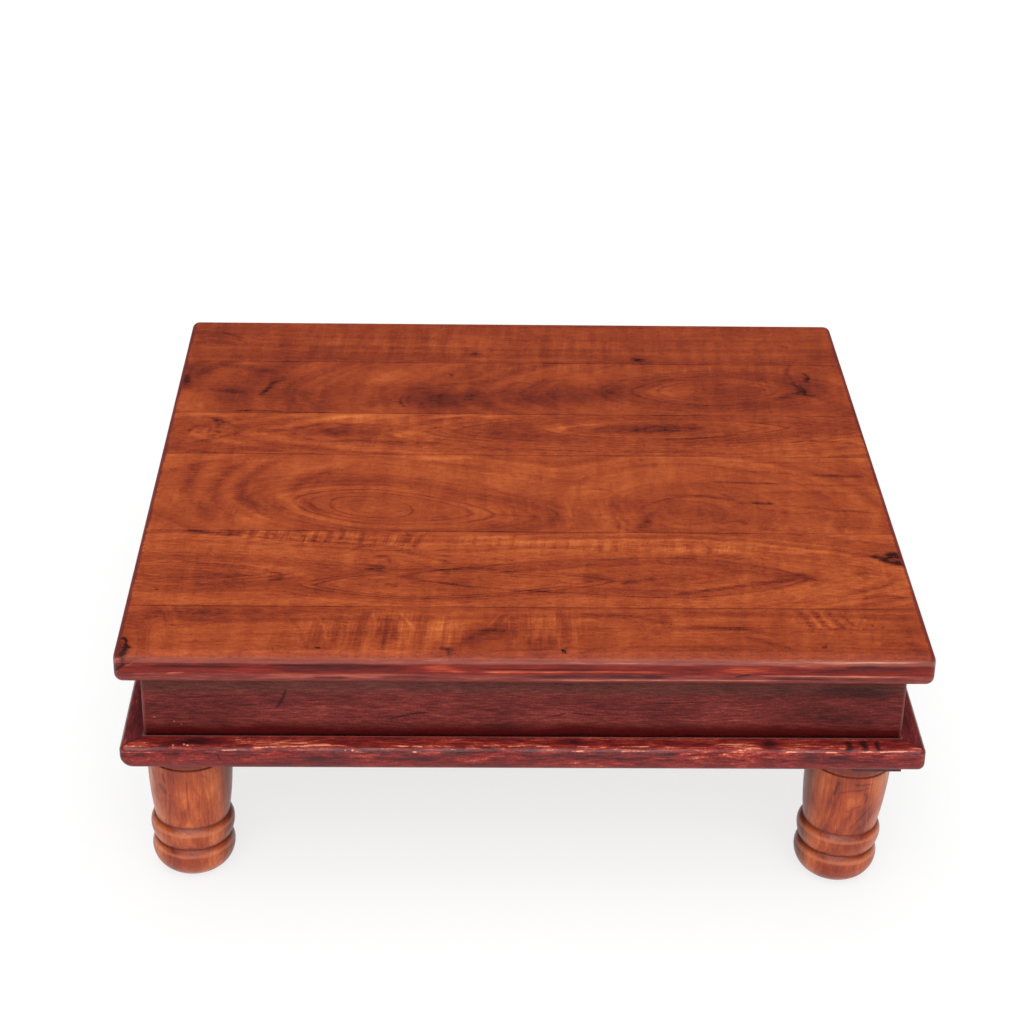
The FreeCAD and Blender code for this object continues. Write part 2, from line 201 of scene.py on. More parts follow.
def addCamera(look):
    data = bpy.data.cameras.new("photoCamera")
    data.lens = look["lens"]
    data.sensor_width = look["frameWidth"]
    data.clip_start = look["nearest"]
    camera = bpy.data.objects.new("photoCamera", data)
    turn, tilt, roll = [Matrix.Rotation(math.radians(look[name]), 4, axis)
                        for name, axis in (("turn", "Z"), ("tilt", "X"), ("roll", "Z"))]
    camera.matrix_world = Matrix.Translation(look["place"]) @ turn @ tilt @ roll
    bpy.context.scene.collection.objects.link(camera)
    bpy.context.scene.camera = camera


def addSun(name, strength, angles):
    data = bpy.data.lights.new(name, "SUN")
    data.energy = strength
    data.angle = math.radians(studio["softness"])
    lamp = bpy.data.objects.new(name, data)
    lamp.rotation_euler = [math.radians(angle) for angle in angles]
    bpy.context.scene.collection.objects.link(lamp)
    return lamp


def addSky(look):
    world = bpy.data.worlds.new("studioSky")
    world.use_nodes = True
    tree = world.node_tree
    angle = math.radians(look["skyAngle"])
    direction = Wire(tree.nodes.new("ShaderNodeTexCoord").outputs["Generated"])
    toward = vectorMaths("DOT_PRODUCT", direction, (0, -math.cos(angle), math.sin(angle)), output=1)
    sky = tree.nodes["Background"]
    sky.inputs["Color"].default_value = (1, 1, 1, 1)
    brightness = smoothRange(toward, look["skyFrom"], look["skyTo"], look["skyLow"], look["skyHigh"])
    feed(sky.inputs["Strength"], brightness)
    bpy.context.scene.world = world


def addFloor(look):
    bpy.ops.mesh.primitive_plane_add(size=look["floorSize"])
    floor = bpy.context.object
    floor.name = "studioFloor"
    paint = bpy.data.materials.new("floorPaint")
    paint.use_nodes = True
    tree = paint.node_tree
    shader = tree.nodes["Principled BSDF"]
    shader.inputs["Base Color"].default_value = look["floorColour"]
    shader.inputs["Roughness"].default_value = 1
    shader.inputs["Specular IOR Level"].default_value = 0
    glow = tree.nodes.new("ShaderNodeEmission")
    glow.inputs["Color"].default_value = look["floorGlow"]
    rays = tree.nodes.new("ShaderNodeLightPath").outputs
    seen = Wire(rays["Is Camera Ray"])
    for name in ("Is Glossy Ray", "Is Transmission Ray"):
        seen = maths("MAXIMUM", seen, Wire(rays[name]))
    seenFloor = addNode("ShaderNodeMixShader", {0: seen * look["glowShare"], 1: Wire(shader.outputs[0]),
                        2: Wire(glow.outputs[0])})[0]
    feed(tree.nodes["Material Output"].inputs["Surface"], seenFloor)
    floor.data.materials.append(paint)


addCamera(cameraLook)
addSky(studio)
for name in ("key", "fill", "roof"):
    lamp = addSun(name + "Light", studio[name + "Strength"], studio[name + "Angles"])
    lamp.visible_glossy = name != "roof"
addFloor(studio)
bpy.context.scene.view_settings.view_transform = "Standard"
print("camera, light and floor")


# Effects that several woods share

def makeWander():
    group, (vector, along, across, slide, seed) = newGroup(
        "wander", {"vector": None, "along": 12.0, "across": 45.0, "slide": 0.002, "seed": 0.0},
        {"vector": "Vector"})
    x, y, z = axes(vector)
    seeded = vectorMaths("ADD", joined(x * along, y * across, z * across), joined(seed, seed, seed))
    push = vectorMaths("SUBTRACT", noise(seeded, detail=3.0, output=1), (0.5, 0.5, 0.5))
    pushed = vectorMaths("MULTIPLY", push, joined(slide * 6.0, slide * 2.0, slide * 2.0))
    return giveOut(group, vectorMaths("ADD", vector, pushed))


def makeEye():
    group, (vector, place, turn, left, right, width, point) = newGroup(
        "growthEye", {"vector": None, "place": None, "turn": 0.0, "left": 0.02, "right": 0.02,
                      "width": 0.005, "point": 2.0}, {"rings": "Float"})
    x, y, z = axes(rotated(vectorMaths("SUBTRACT", vector, place), turn * -1.0))
    length = timesPlus(maths("GREATER_THAN", x, 0.0), right - left, left)
    along = maths("POWER", abs(x) / length, point)
    across = maths("POWER", abs(y) / width, point)
    return giveOut(group, maths("POWER", along + across, maths("DIVIDE", 1.0, point)))


def makeRings():
    group, (rings, vector, sharpness) = newGroup(
        "growthRings", {"rings": 0.0, "vector": None, "sharpness": 0.5}, {"line": "Float", "band": "Float"})
    ragged = noise(mapped(vector, scale=(45, 260, 260)), detail=3.0)
    rings = timesPlus(ragged, 0.6, rings)
    phase = maths("FRACT", rings)
    chance = addNode("ShaderNodeTexWhiteNoise", {"W": maths("FLOOR", rings)}, noise_dimensions="1D")[0]
    line = between(phase, sharpness, 0.93, 0.93, 1.0)
    band = addNode("ShaderNodeTexNoise", {"W": rings * 0.45, "Scale": 1.0, "Detail": 3.0, "Roughness": 0.6},
                   noise_dimensions="1D")[0]
    return giveOut(group, line * maths("POWER", chance, 2.2), smoothRange(band, 0.28, 0.72))


def makeRingLine():
    group, (tone, rings, at, width, strength, patch) = newGroup(
        "ringLine", {"tone": 0.0, "rings": 0.0, "at": 1.0, "width": 0.08, "strength": 0.3, "patch": 1.0},
        {"tone": "Float"})
    mask = fade(abs(rings - at), 0.0, width)
    return giveOut(group, timesPlus(mask, strength * patch, tone))


def makeStroke():
    group, (tone, vector, start, heading, length, sag, width, strength) = newGroup(
        "grainStroke", {"tone": 0.0, "vector": None, "start": None, "heading": None, "length": 0.02,
                        "sag": 0.0, "width": 0.001, "strength": 0.3}, {"tone": "Float"})
    moved = vectorMaths("SUBTRACT", vector, start)
    along = vectorMaths("DOT_PRODUCT", moved, heading, output=1) / length
    sideways = vectorMaths("CROSS_PRODUCT", heading, (0, 0, 1))
    rise = along * (1.0 - along) * 4.0
    bowed = timesPlus(rise, sag, vectorMaths("DOT_PRODUCT", moved, sideways, output=1))
    ends = between(along, -0.02, 0.2, 0.75, 1.04)
    body = fade(abs(bowed), 0.0, width * timesPlus(ends, 0.7, 0.3), ends)
    return giveOut(group, timesPlus(body, strength, tone))


def makeSpot():
    group, (tone, vector, place, share, turn, core, strength) = newGroup(
        "woodSpot", {"tone": 0.0, "vector": None, "place": None, "share": None, "turn": 0.0, "core": 0.1,
                     "strength": 0.3}, {"tone": "Float"})
    turned = rotated(vectorMaths("SUBTRACT", vector, place), turn * -1.0)
    reach = vectorMaths("LENGTH", vectorMaths("MULTIPLY", turned, share), output=1)
    return giveOut(group, timesPlus(fade(reach, core, 1.0), strength, tone))


def makeFibre():
    group, (vector, along, across) = newGroup(
        "woodFibre", {"vector": None, "along": 150.0, "across": 620.0},
        {"streak": "Float", "pore": "Float"})
    x, y, z = axes(vector)
    streaks = joined(x * along, y * across, z * across)
    grit = noise(vector, scale=900.0, detail=1.0)
    streak = noise(streaks, detail=4.0, roughness=0.62)
    pores = noise(vectorMaths("MULTIPLY", streaks, (3.2, 1.6, 1.6)), detail=1.0)
    return giveOut(group, timesPlus(grit - 0.5, 0.32, streak), smoothRange(pores, 0.58, 0.7))


def makeCurl():
    group, (vector, turn, across) = newGroup(
        "curlyGrain", {"vector": None, "turn": 0.0, "across": 170.0}, {"curl": "Float", "hair": "Float"})
    x, y, z = axes(rotated(vector, turn))
    bands = joined(x * across, y * 18.0, z)
    broad = noise(bands, detail=3.0, roughness=0.6, distortion=0.4)
    hairs = noise(vectorMaths("MULTIPLY", bands, (5.5, 1.6, 1.0)), roughness=0.6)
    return giveOut(group, smoothRange(broad, 0.33, 0.67), smoothRange(hairs, 0.5, 0.72))


wander = makeWander()
growthEye = makeEye()
growthRings = makeRings()
ringLine = makeRingLine()
grainStroke = makeStroke()
woodSpot = makeSpot()
woodFibre = makeFibre()
curlyGrain = makeCurl()
print("shared effects")


# Materials

def newMaterial(name):
    material = bpy.data.materials.new(name.replace("_", ""))
    material.use_nodes = True
    return material, Wire(material.node_tree.nodes.new("ShaderNodeTexCoord").outputs["Object"])


def bumped(height, distance):
    return addNode("ShaderNodeBump", {"Height": height, "Distance": distance})[0]


def finished(material, inputs):
    shader = material.node_tree.nodes["Principled BSDF"]
    for name, value in inputs.items():
        feed(shader.inputs[name], value)
    return material


def on(across, back):
    return (across * mm, back * mm, 0.0)


def toneColour(tone, stops):
    made = addNode("ShaderNodeValToRGB", {0: tone})[0]
    ramp = made.socket.node.color_ramp.elements
    while len(ramp) < len(stops):
        ramp.new(0.5)
    for mark, (position, colour) in zip(ramp, stops):
        mark.position = position
        mark.color = srgb(*colour)
    return made


def addStrokes(tone, vector, strokes, spread=1.0):
    for startAcross, startBack, endAcross, endBack, sag, width, strength in strokes:
        run = Vector((endAcross - startAcross, endBack - startBack, 0))
        tone = useGroup(grainStroke, tone=tone, vector=vector, start=on(startAcross, startBack),
                        heading=run.normalized(), length=run.length * mm, sag=sag * mm,
                        width=width * mm * spread, strength=strength)[0]
    return tone


def addSpots(tone, vector, spots, spread=1.0, core=0.1):
    for across, back, length, width, turn, strength in spots:
        unit = mm * spread
        tone = useGroup(woodSpot, tone=tone, vector=vector, place=on(across, back),
                        share=(1 / (length * unit), 1 / (width * unit), 0), turn=math.radians(turn),
                        core=core, strength=strength)[0]
    return tone


# Tones run from 0, pale, to 1, dark. Places on the top are millimetres from its middle,
# to the right and to the back.
# eyes: across, back, left, right, width, point, turn, ring lines (at, width, strength)
# strokes: from (across, back), to (across, back), bow to its left, width, strength
# spots: across, back, length, width, turn, strength
# knots: across, back, length, width, strength
# curl: across, back, length, width, turn, slant, strength
topWood = {
    "tones": [(0.0, (208, 118, 62)), (0.2, (182, 92, 48)), (0.4, (157, 70, 37)), (0.6, (134, 54, 31)),
        (0.8, (108, 41, 27)), (0.94, (80, 30, 22)), (1.0, (48, 18, 14))],
    # the stain wash over the upper rounding; its pale end paints a highlight there
    "washed": [(0.0, (240, 188, 158)), (0.25, (188, 108, 84)), (0.5, (146, 72, 60)), (1.0, (96, 36, 34))],
    "face": [(0.0, (214, 122, 62)), (0.25, (172, 66, 36)), (0.5, (128, 32, 22)), (0.75, (96, 18, 14)),
        (1.0, (54, 10, 10))],
    # the lower arris: stained, and painted paler where it turns down, for the light that the floor throws
    # up on it
    "arris": [(0.0, (206, 128, 100)), (0.3, (164, 84, 66)), (0.6, (124, 48, 42)), (1.0, (70, 24, 24))],
    "rim": srgb(104, 34, 30), "rimShare": 0.85, "raw": srgb(176, 118, 78),     # share: how fully it covers
    "specular": 0.22, "roughness": 0.34, "dull": 0.42, "coatRoughness": 0.3,
    "relief": 0.00015,       # metres that the grain stands out
    "middle": 0.42, "clouds": 0.46, "shimmer": 0.1, "rings": 0.12, "pores": 0.13,    # shares of the tone
    "edgeMiddle": 0.62, "endsDarker": 0.16,
    "strokeSpread": 1.8, "spotSpread": 1.3, "knotSpread": 1.5,    # marks are drawn wider by this
    "sideRim": 3.2,          # stained strip along the sides, millimetres
    # what lies round the edge: the stain wash with its painted highlight, the stained face, and the lower
    # arris painted paler for the light from the floor; its tones, from and to where it sets in, millimetres
    # down, and how fully
    "edgeParts": [("washed", 1.5, 3.9, 0.8), ("face", 5.6, 6.8, 1.0), ("arris", 12.0, 13.4, 1.0)],
    # marks on the front edge, by place to the right and way down round the edge; the pale ones 4 to 5 mm
    # down paint a highlight along the foot of the rounding
    "edgeStrokes": [(-216, 8, -150, 9, 0, 1.4, 0.3), (-150, 9, -54, 9, 0, 3.6, 0.22),
        (-150, 7, -60, 8, 0, 1.2, 0.2), (-34, 9, 47, 10, 0, 0.9, 0.4), (-34, 11, 92, 11, 0, 1.3, -0.4),
        (-8, 14, 88, 14, 0, 1.8, 0.34), (-10, 16, 172, 16, 0, 0.7, -0.4), (116, 14, 127, 12, 0, 1.0, 0.5),
        (138, 9, 226, 9, 0, 3.0, 0.14), (176, 7, 198, 7, 0, 1.1, 0.35), (120, 13, 226, 13, 0, 0.8, -0.4),
        (126, 15, 226, 15, 0, 1.7, 0.3), (-166, 14, -52, 14, 0, 2.4, -0.18),
        (-120, 15, -98, 15, 0, 1.5, 0.4), (-84, 15, -50, 15, 0, 1.5, 0.2), (-34, 5, 109, 5, 0, 0.7, -0.14),
        (40, 5, 64, 5, 0, 0.8, -0.24), (109, 4, 226, 4, 0, 1.2, -0.16), (150, 4, 228, 4, 0, 1.7, -0.32),
        (-216, 5, -228, 13, 0, 1.3, -0.2), (-200, 13, -188, 12, 0, 0.9, -0.3)],
    "cornerStrokes": [(-222, -1, -223, 7, 0, 1.7, 0.6), (-222, 6, -227, 11, -1, 1.7, 0.6)],
    "cornerSpots": [(-227, 3, 5, 7, 0, -0.34)],
    "edgeSpots": [(-47, 9, 16, 4, 0, -0.3), (-37, 11, 9, 2, 0, -0.3), (122, 9, 22, 4, 0, -0.26),
        (71, 14, 9, 2, 0, 0.3), (158, 7, 11, 2, 0, -0.28), (-47, 3, 14, 3, 0, -0.2),
        (-222, 14, 8, 3, 0, 0.2)],
}

boards = {}

boards["top_board_1"] = {
    "seed": 3.1, "tone": 0.14, "ringWidth": 9.0, "bands": 0.2, "streaks": 0.52,
    "eyes": [(-200, 300, 60, 60, 8, 2.0, 0, []), (60, 255, 80, 80, 9, 2.0, 0, [])],
    "strokes": [(-224, 188, -192, 184, 5, 3.5, 0.2), (-205, 208, -188, 195, 0, 1.8, 0.3),
        (-200, 197, -186, 188, 1, 1.6, 0.2), (-216, 200, -198, 197, 1, 1.8, 0.14),
        (-194, 170, -187, 158, 0, 2.5, 0.14), (-109, 158, -57, 156, 0, 1.2, 0.6),
        (-184, 155, -143, 156, 0, 1.2, 0.2), (-43, 204, -6, 193, 0, 5.0, -0.12),
        (-10, 162, 64, 163, 1, 2.6, -0.18), (73, 190, 98, 185, -3, 2.4, 0.14),
        (80, 167, 92, 164, -1, 2.4, 0.34), (96, 168, 212, 170, 5, 7.0, -0.14),
        (190, 190, 197, 188, 0, 1.8, 0.36), (20, 206, 66, 200, -6, 4.0, 0.08)],
    "spots": [(-26, 173, 10, 7, 0, 0.14), (-20, 164, 14, 3, 0, -0.16), (-208, 199, 18, 16, 0, 0.1),
        (-158, 190, 16, 14, 0, 0.09), (-156, 211, 15, 7, 0, 0.08), (86, 165, 12, 8, 0, 0.12),
        (-132, 179, 13, 10, 0, 0.07), (-60, 195, 30, 8, 0, 0.05)],
    "knots": [(-27, 173, 3.0, 2.6, 0.34), (86, 165, 2.6, 2.2, 0.3)],
    "curl": [(-30, 190, 190, 34, 0, 4, 0.12)],
}

boards["top_board_2"] = {
    "seed": 7.4, "tone": 0.11, "ringWidth": 8.0, "bands": 0.26, "streaks": 0.5,
    "eyes": [(134, 115, 39, 44, 16, 1.8, 3, [(0.78, 0.07, 0.1), (1.0, 0.07, 0.18), (1.22, 0.06, 0.1),
        (1.42, 0.08, 0.2)])],
    "strokes": [(-211, 154, -158, 137, 3, 4.0, 0.24), (-158, 137, -172, 106, 2, 3.2, 0.22),
        (-162, 134, -173, 102, 1, 2.4, 0.2), (-166, 136, -172, 116, 1, 1.2, 0.12),
        (-165, 116, -172, 100, 0, 1.8, 0.2), (-222, 154, -216, 103, -3, 3.0, 0.14),
        (-221, 106, -175, 102, 7, 3.0, 0.18), (-175, 102, -134, 98, -3, 5.0, 0.1),
        (-188, 79, -152, 78, 1, 1.3, 0.5), (-152, 78, -106, 76, 0, 1.0, 0.24),
        (-75, 105, -72, 85, -4, 1.2, 0.3), (-71, 106, -69, 87, -3, 1.1, 0.16),
        (-88, 109, 4, 132, 2, 2.4, 0.14), (-64, 101, 3, 118, -3, 5.0, 0.1),
        (-10, 123, 42, 131, 0, 2.6, 0.12), (42, 131, 164, 134, -1, 1.6, 0.14),
        (168, 133, 170, 108, 2, 1.2, -0.18), (164, 128, 168, 109, 1, 1.0, -0.16),
        (192, 161, 192, 133, -4, 1.8, 0.24), (192, 133, 195, 114, -2, 1.8, 0.25),
        (199, 146, 199, 130, 4, 1.5, 0.36), (172, 101, 195, 116, -1, 1.6, 0.32),
        (194, 115, 206, 112, -5, 1.8, 0.3), (200, 108, 225, 91, -1, 2.2, 0.14),
        (-11, 74, 83, 75, 0, 1.0, -0.24), (83, 75, 222, 75, 0, 1.0, -0.08),
        (-134, 98, -118, 82, -3, 4.0, 0.08)],
    "spots": [(-213, 134, 14, 24, 0, 0.26), (-224, 123, 6, 16, 0, 0.18), (-162, 126, 15, 26, 0, 0.12),
        (-98, 90, 8, 7, 0, 0.16), (-103, 100, 10, 9, 0, 0.08), (-55, 99, 35, 17, 6, 0.12),
        (-20, 103, 48, 20, 6, 0.15), (34, 106, 52, 21, 4, 0.19), (30, 102, 26, 10, 4, 0.06),
        (62, 112, 16, 16, 0, 0.12), (108, 112, 18, 10, 0, -0.12), (198, 132, 18, 26, 0, 0.1),
        (185, 88, 45, 9, 0, 0.1), (-100, 108, 62, 20, 0, 0.12), (-111, 140, 60, 13, 0, -0.04),
        (221, 133, 10, 20, 0, -0.06)],
    "knots": [(201, 136, 2.4, 6.0, 0.3), (194, 114, 5.6, 4.0, 0.34), (-44, 138, 2.2, 2.4, 0.42)],
    "curl": [(60, 150, 180, 10, 0, 4, 0.12)],
}

boards["top_board_3"] = {
    "seed": 1.7, "tone": 0.05, "ringWidth": 6.0, "bands": 0.34, "streaks": 0.66,
    "eyes": [(97, 56, 80, 80, 14, 1.6, 2, [(0.8, 0.05, 0.14), (1.0, 0.05, 0.26), (1.6, 0.04, 0.12),
        (1.74, 0.04, 0.16), (1.86, 0.04, 0.18), (1.97, 0.05, 0.26), (2.2, 0.05, 0.14)])],
    "strokes": [(-150, 71, -60, 71, 1, 6.0, -0.32), (-225, 74, -138, 72, 0, 4.0, -0.22),
        (-118, 64, -86, 63, -1, 3.0, -0.26), (-62, 72, -4, 74, 1, 2.6, -0.26),
        (-202, 70, -194, 51, 2, 1.8, 0.28), (-194, 52, -203, 40, 2, 1.8, 0.28),
        (-199, 71, -191, 52, 2, 1.1, 0.2), (-215, 45, -207, 59, 1, 1.2, 0.3),
        (-210, 44, -199, 59, 1, 1.2, 0.24), (-203, 46, -199, 58, -1, 1.1, 0.28),
        (-214, 73, -176, 49, 3, 1.8, 0.24), (-213, 31, -177, 49, -1, 1.8, 0.26),
        (-209, 75, -180, 58, 4, 1.8, -0.14), (-177, 49, -148, 51, 0, 2.4, 0.28),
        (-149, 51, -126, 61, 1, 1.9, 0.32), (-126, 61, -81, 57, 1, 2.0, 0.2),
        (-148, 49, -127, 36, -2, 1.8, 0.22), (-127, 36, -34, 29, 2, 2.0, 0.3),
        (-136, 42, -106, 42, -2, 2.6, -0.14), (-86, 48, -72, 31, 0, 2.0, 0.16),
        (-72, 59, 3, 79, 3, 1.8, 0.2), (-35, 29, 2, 26, -2, 1.8, 0.22), (-188, 22, -144, 25, 2, 2.0, 0.14),
        (-180, 19, -126, 16, 0, 1.4, -0.22), (-110, 16, -91, 14, 0, 2.2, -0.28),
        (-65, 14, -32, 12, 0, 2.4, -0.3), (44, 55, 132, 59, 2, 4.0, 0.18), (52, 52, 115, 53, 0, 2.4, 0.18),
        (88, 42, 160, 58, -6, 1.8, 0.26), (-11, 24, 57, 22, 1, 1.6, 0.28), (57, 22, 152, 20, 2, 1.4, 0.22),
        (173, 35, 226, 32, 6, 1.8, 0.26), (156, 65, 192, 64, 3, 1.4, 0.16),
        (180, 54, 223, 51, -2, 1.6, 0.12)],
    "spots": [(-112, 48, 40, 10, -2, 0.2), (-116, 48, 20, 6, 0, 0.1), (-75, 46, 10, 6, 0, -0.24),
        (-60, 46, 14, 10, 0, -0.08), (-202, 54, 12, 14, 0, 0.08), (88, 56, 50, 8, 2, 0.12),
        (27, 55, 11, 9, 0, -0.2), (46, 63, 12, 4, 0, -0.14), (-164, 62, 12, 8, 0, -0.12)],
    "knots": [], "curl": [(-60, 66, 120, 8, 0, 0, 0.1)],
}

boards["top_board_4"] = {
    "seed": 5.2, "tone": 0.0, "ringWidth": 10.0, "bands": 0.26, "streaks": 0.42,
    "eyes": [(-91, -56, 27, 27, 13, 2.0, -13, [(1.0, 0.07, 0.28)]),
        (-88, -55, 52, 72, 22, 1.7, -8, [(0.82, 0.045, 0.2), (1.0, 0.05, 0.3), (1.18, 0.06, -0.1),
        (1.34, 0.05, 0.12), (1.52, 0.1, 0.1)]), (103, -60, 28, 34, 23, 2.0, -6, [(0.4, 0.1, 0.1),
        (0.68, 0.08, 0.1), (1.0, 0.1, 0.12)])],
    "strokes": [(-203, 14, -184, -78, -11, 6.0, 0.24), (-170, 13, -173, -78, -17, 4.5, 0.24),
        (-138, 17, -143, -79, -32, 4.5, 0.22), (-152, 16, -160, -79, -25, 4.0, -0.08),
        (-93, 8, -118, -79, -44, 4.0, -0.13), (-88, 4, -108, -79, -40, 3.0, 0.16),
        (142, -47, 159, -48, 0, 1.7, 0.75), (158, -49, 225, -60, 0, 1.6, 0.26),
        (142, -51, 186, -58, -5, 2.0, 0.16), (133, -46, 145, -47, -1, 2.4, 0.3),
        (123, -34, 134, -46, 2, 1.6, 0.24), (74, -56, 139, -47, 13, 2.2, 0.34),
        (116, -19, 173, -21, 0, 1.6, 0.36), (130, -3, 182, -9, 1, 1.3, 0.22),
        (181, -9, 222, -11, 0, 1.9, 0.4), (120, 7, 214, 10, 0, 1.2, 0.18),
        (173, -21, 226, -20, -2, 1.3, 0.14), (143, -35, 224, -36, 3, 1.5, 0.14),
        (43, -31, 62, -37, 4, 1.4, 0.2), (16, -55, 17, -72, 4, 1.2, 0.18), (55, -66, 55, -88, 5, 1.3, 0.22),
        (60, -66, 60, -89, 5, 1.2, 0.18), (82, -56, 65, -90, 3, 3.0, 0.3),
        (-131, -51, -115, -67, -2, 1.8, 0.2), (-54, -73, -42, -70, 3, 2.4, 0.24),
        (-17, -63, 12, -68, 0, 1.7, 0.28), (-106, 19, -90, 16, 1, 2.4, -0.26),
        (-67, 14, -30, 13, -2, 2.4, -0.22), (-48, -16, 0, -47, 5, 1.8, 0.12),
        (102, 27, 224, 36, 0, 2.0, 0.12), (109, 15, 216, 25, 0, 1.8, -0.12),
        (184, -75, 226, -75, -4, 2.4, 0.16), (140, -80, 191, -90, 2, 2.8, 0.14),
        (120, -75, 141, -76, 5, 2.4, 0.22), (-12, -91, 72, -94, 0, 1.0, 0.24)],
    "spots": [(81, -71, 9, 22, 0, 0.12), (126, -66, 18, 12, 0, 0.14), (209, -75, 16, 14, 0, 0.08),
        (-93, -55, 22, 11, -10, -0.08), (202, -13, 28, 15, 0, 0.06), (-158, -68, 13, 11, 0, -0.1)],
    "knots": [], "curl": [(30, -60, 60, 28, 0, -8, 0.1), (-170, -50, 50, 30, 0, 10, 0.08)],
}

boards["top_board_5"] = {
    "seed": 9.3, "tone": 0.0, "ringWidth": 6.0, "bands": 0.32, "streaks": 0.66,
    "eyes": [(-205, -138, 40, 70, 12, 1.4, 0, [(0.55, 0.06, 0.16), (0.8, 0.05, 0.2), (1.0, 0.05, 0.34)]),
        (-62, -150, 60, 102, 16, 1.4, 2, [(0.82, 0.04, 0.2), (0.98, 0.04, 0.28), (1.12, 0.045, 0.3)]),
        (90, -141, 160, 76, 23, 1.5, 0, [(0.72, 0.04, 0.12), (1.0, 0.05, 0.26)])],
    "strokes": [(-226, -81, -205, -83, 2, 1.9, 0.46), (-208, -83, -167, -93, -2, 1.9, 0.46),
        (-170, -93, -88, -104, 0, 1.9, 0.44), (-189, -86, -153, -92, 2, 2.4, 0.16),
        (-182, -77, -175, -95, 1, 1.6, 0.22), (-175, -77, -170, -95, 1, 1.6, 0.2),
        (-154, -80, -145, -97, -1, 1.4, 0.18), (-136, -80, -128, -97, -1, 1.4, 0.18),
        (-116, -83, -115, -100, 2, 1.7, 0.26), (-109, -83, -109, -100, 2, 1.5, 0.22),
        (-72, -85, -71, -105, 3, 1.8, 0.22), (-59, -90, -64, -110, -1, 2.4, 0.28),
        (-146, -85, -117, -91, 3, 3.0, -0.16), (-56, -90, 0, -95, 2, 4.0, -0.22),
        (-13, -98, 66, -104, 2, 4.5, -0.24), (-13, -109, 45, -112, 1, 2.6, -0.16),
        (74, -110, 138, -110, 3, 3.6, -0.15), (138, -110, 194, -109, 0, 1.8, -0.16),
        (25, -97, 27, -111, 2, 1.2, 0.22), (45, -100, 46, -113, 2, 1.2, 0.2),
        (54, -102, 56, -112, 2, 1.2, 0.18), (110, -103, 110, -114, 2, 1.3, 0.26),
        (96, -99, 100, -107, 0, 1.2, 0.2), (-95, -131, -80, -129, -3, 2.6, 0.36),
        (-91, -119, -79, -129, 7, 1.7, 0.32), (-80, -149, -71, -154, -1, 1.7, 0.28),
        (-104, -114, -71, -109, 8, 1.8, 0.22), (-72, -109, -40, -116, -2, 1.8, 0.24),
        (-86, -107, -36, -129, 2, 1.6, 0.24), (-37, -129, 0, -129, -3, 1.6, 0.22),
        (-76, -119, -43, -138, 1, 1.4, 0.18), (-40, -116, 0, -122, 0, 1.4, 0.18),
        (-203, -123, -153, -134, -1, 1.6, 0.26), (-153, -134, -137, -141, 0, 1.8, 0.32),
        (-203, -152, -149, -147, -1, 1.6, 0.28), (-149, -147, -137, -141, -1, 1.6, 0.3),
        (-194, -139, -140, -142, 0, 2.2, 0.14), (206, -115, 228, -114, 0, 2.6, 0.6),
        (211, -117, 229, -126, 0, 3.0, 0.8), (216, -113, 229, -110, 0, 2.6, 0.7),
        (-222, -164, -160, -171, -2, 4.5, -0.14), (-160, -171, -78, -169, 0, 2.4, -0.14),
        (54, -150, 81, -142, 1, 1.6, 0.36), (81, -163, 136, -148, 0, 1.6, 0.36),
        (135, -148, 160, -141, -1, 2.0, 0.32), (165, -141, 189, -144, -2, 1.8, 0.22),
        (84, -117, 139, -120, 3, 1.7, 0.2), (187, -158, 219, -144, -2, 1.8, 0.22),
        (194, -167, 224, -164, 4, 2.4, 0.32), (193, -116, 219, -117, 1, 1.6, 0.22)],
    "spots": [(-86, -126, 14, 13, 0, 0.1), (-178, -143, 20, 5, 0, 0.14), (-140, -144, 10, 4, 0, 0.18),
        (44, -142, 10, 6, 0, 0.22), (2, -147, 18, 8, 0, -0.1), (161, -140, 13, 7, 0, 0.24),
        (123, -134, 9, 5, 0, 0.16), (108, -141, 26, 7, 0, 0.06), (200, -135, 8, 7, 0, 0.12)],
    "knots": [(-88, -129, 4.5, 3.4, 0.3), (200, -135, 4.0, 3.2, 0.34), (225, -118, 4.0, 5.5, 0.6),
        (-212, -158, 1.0, 1.4, 0.36)],
    "curl": [(-118, -93, 80, 13, -6, 8, 0.3), (60, -103, 150, 9, -3, 8, 0.17)],
}

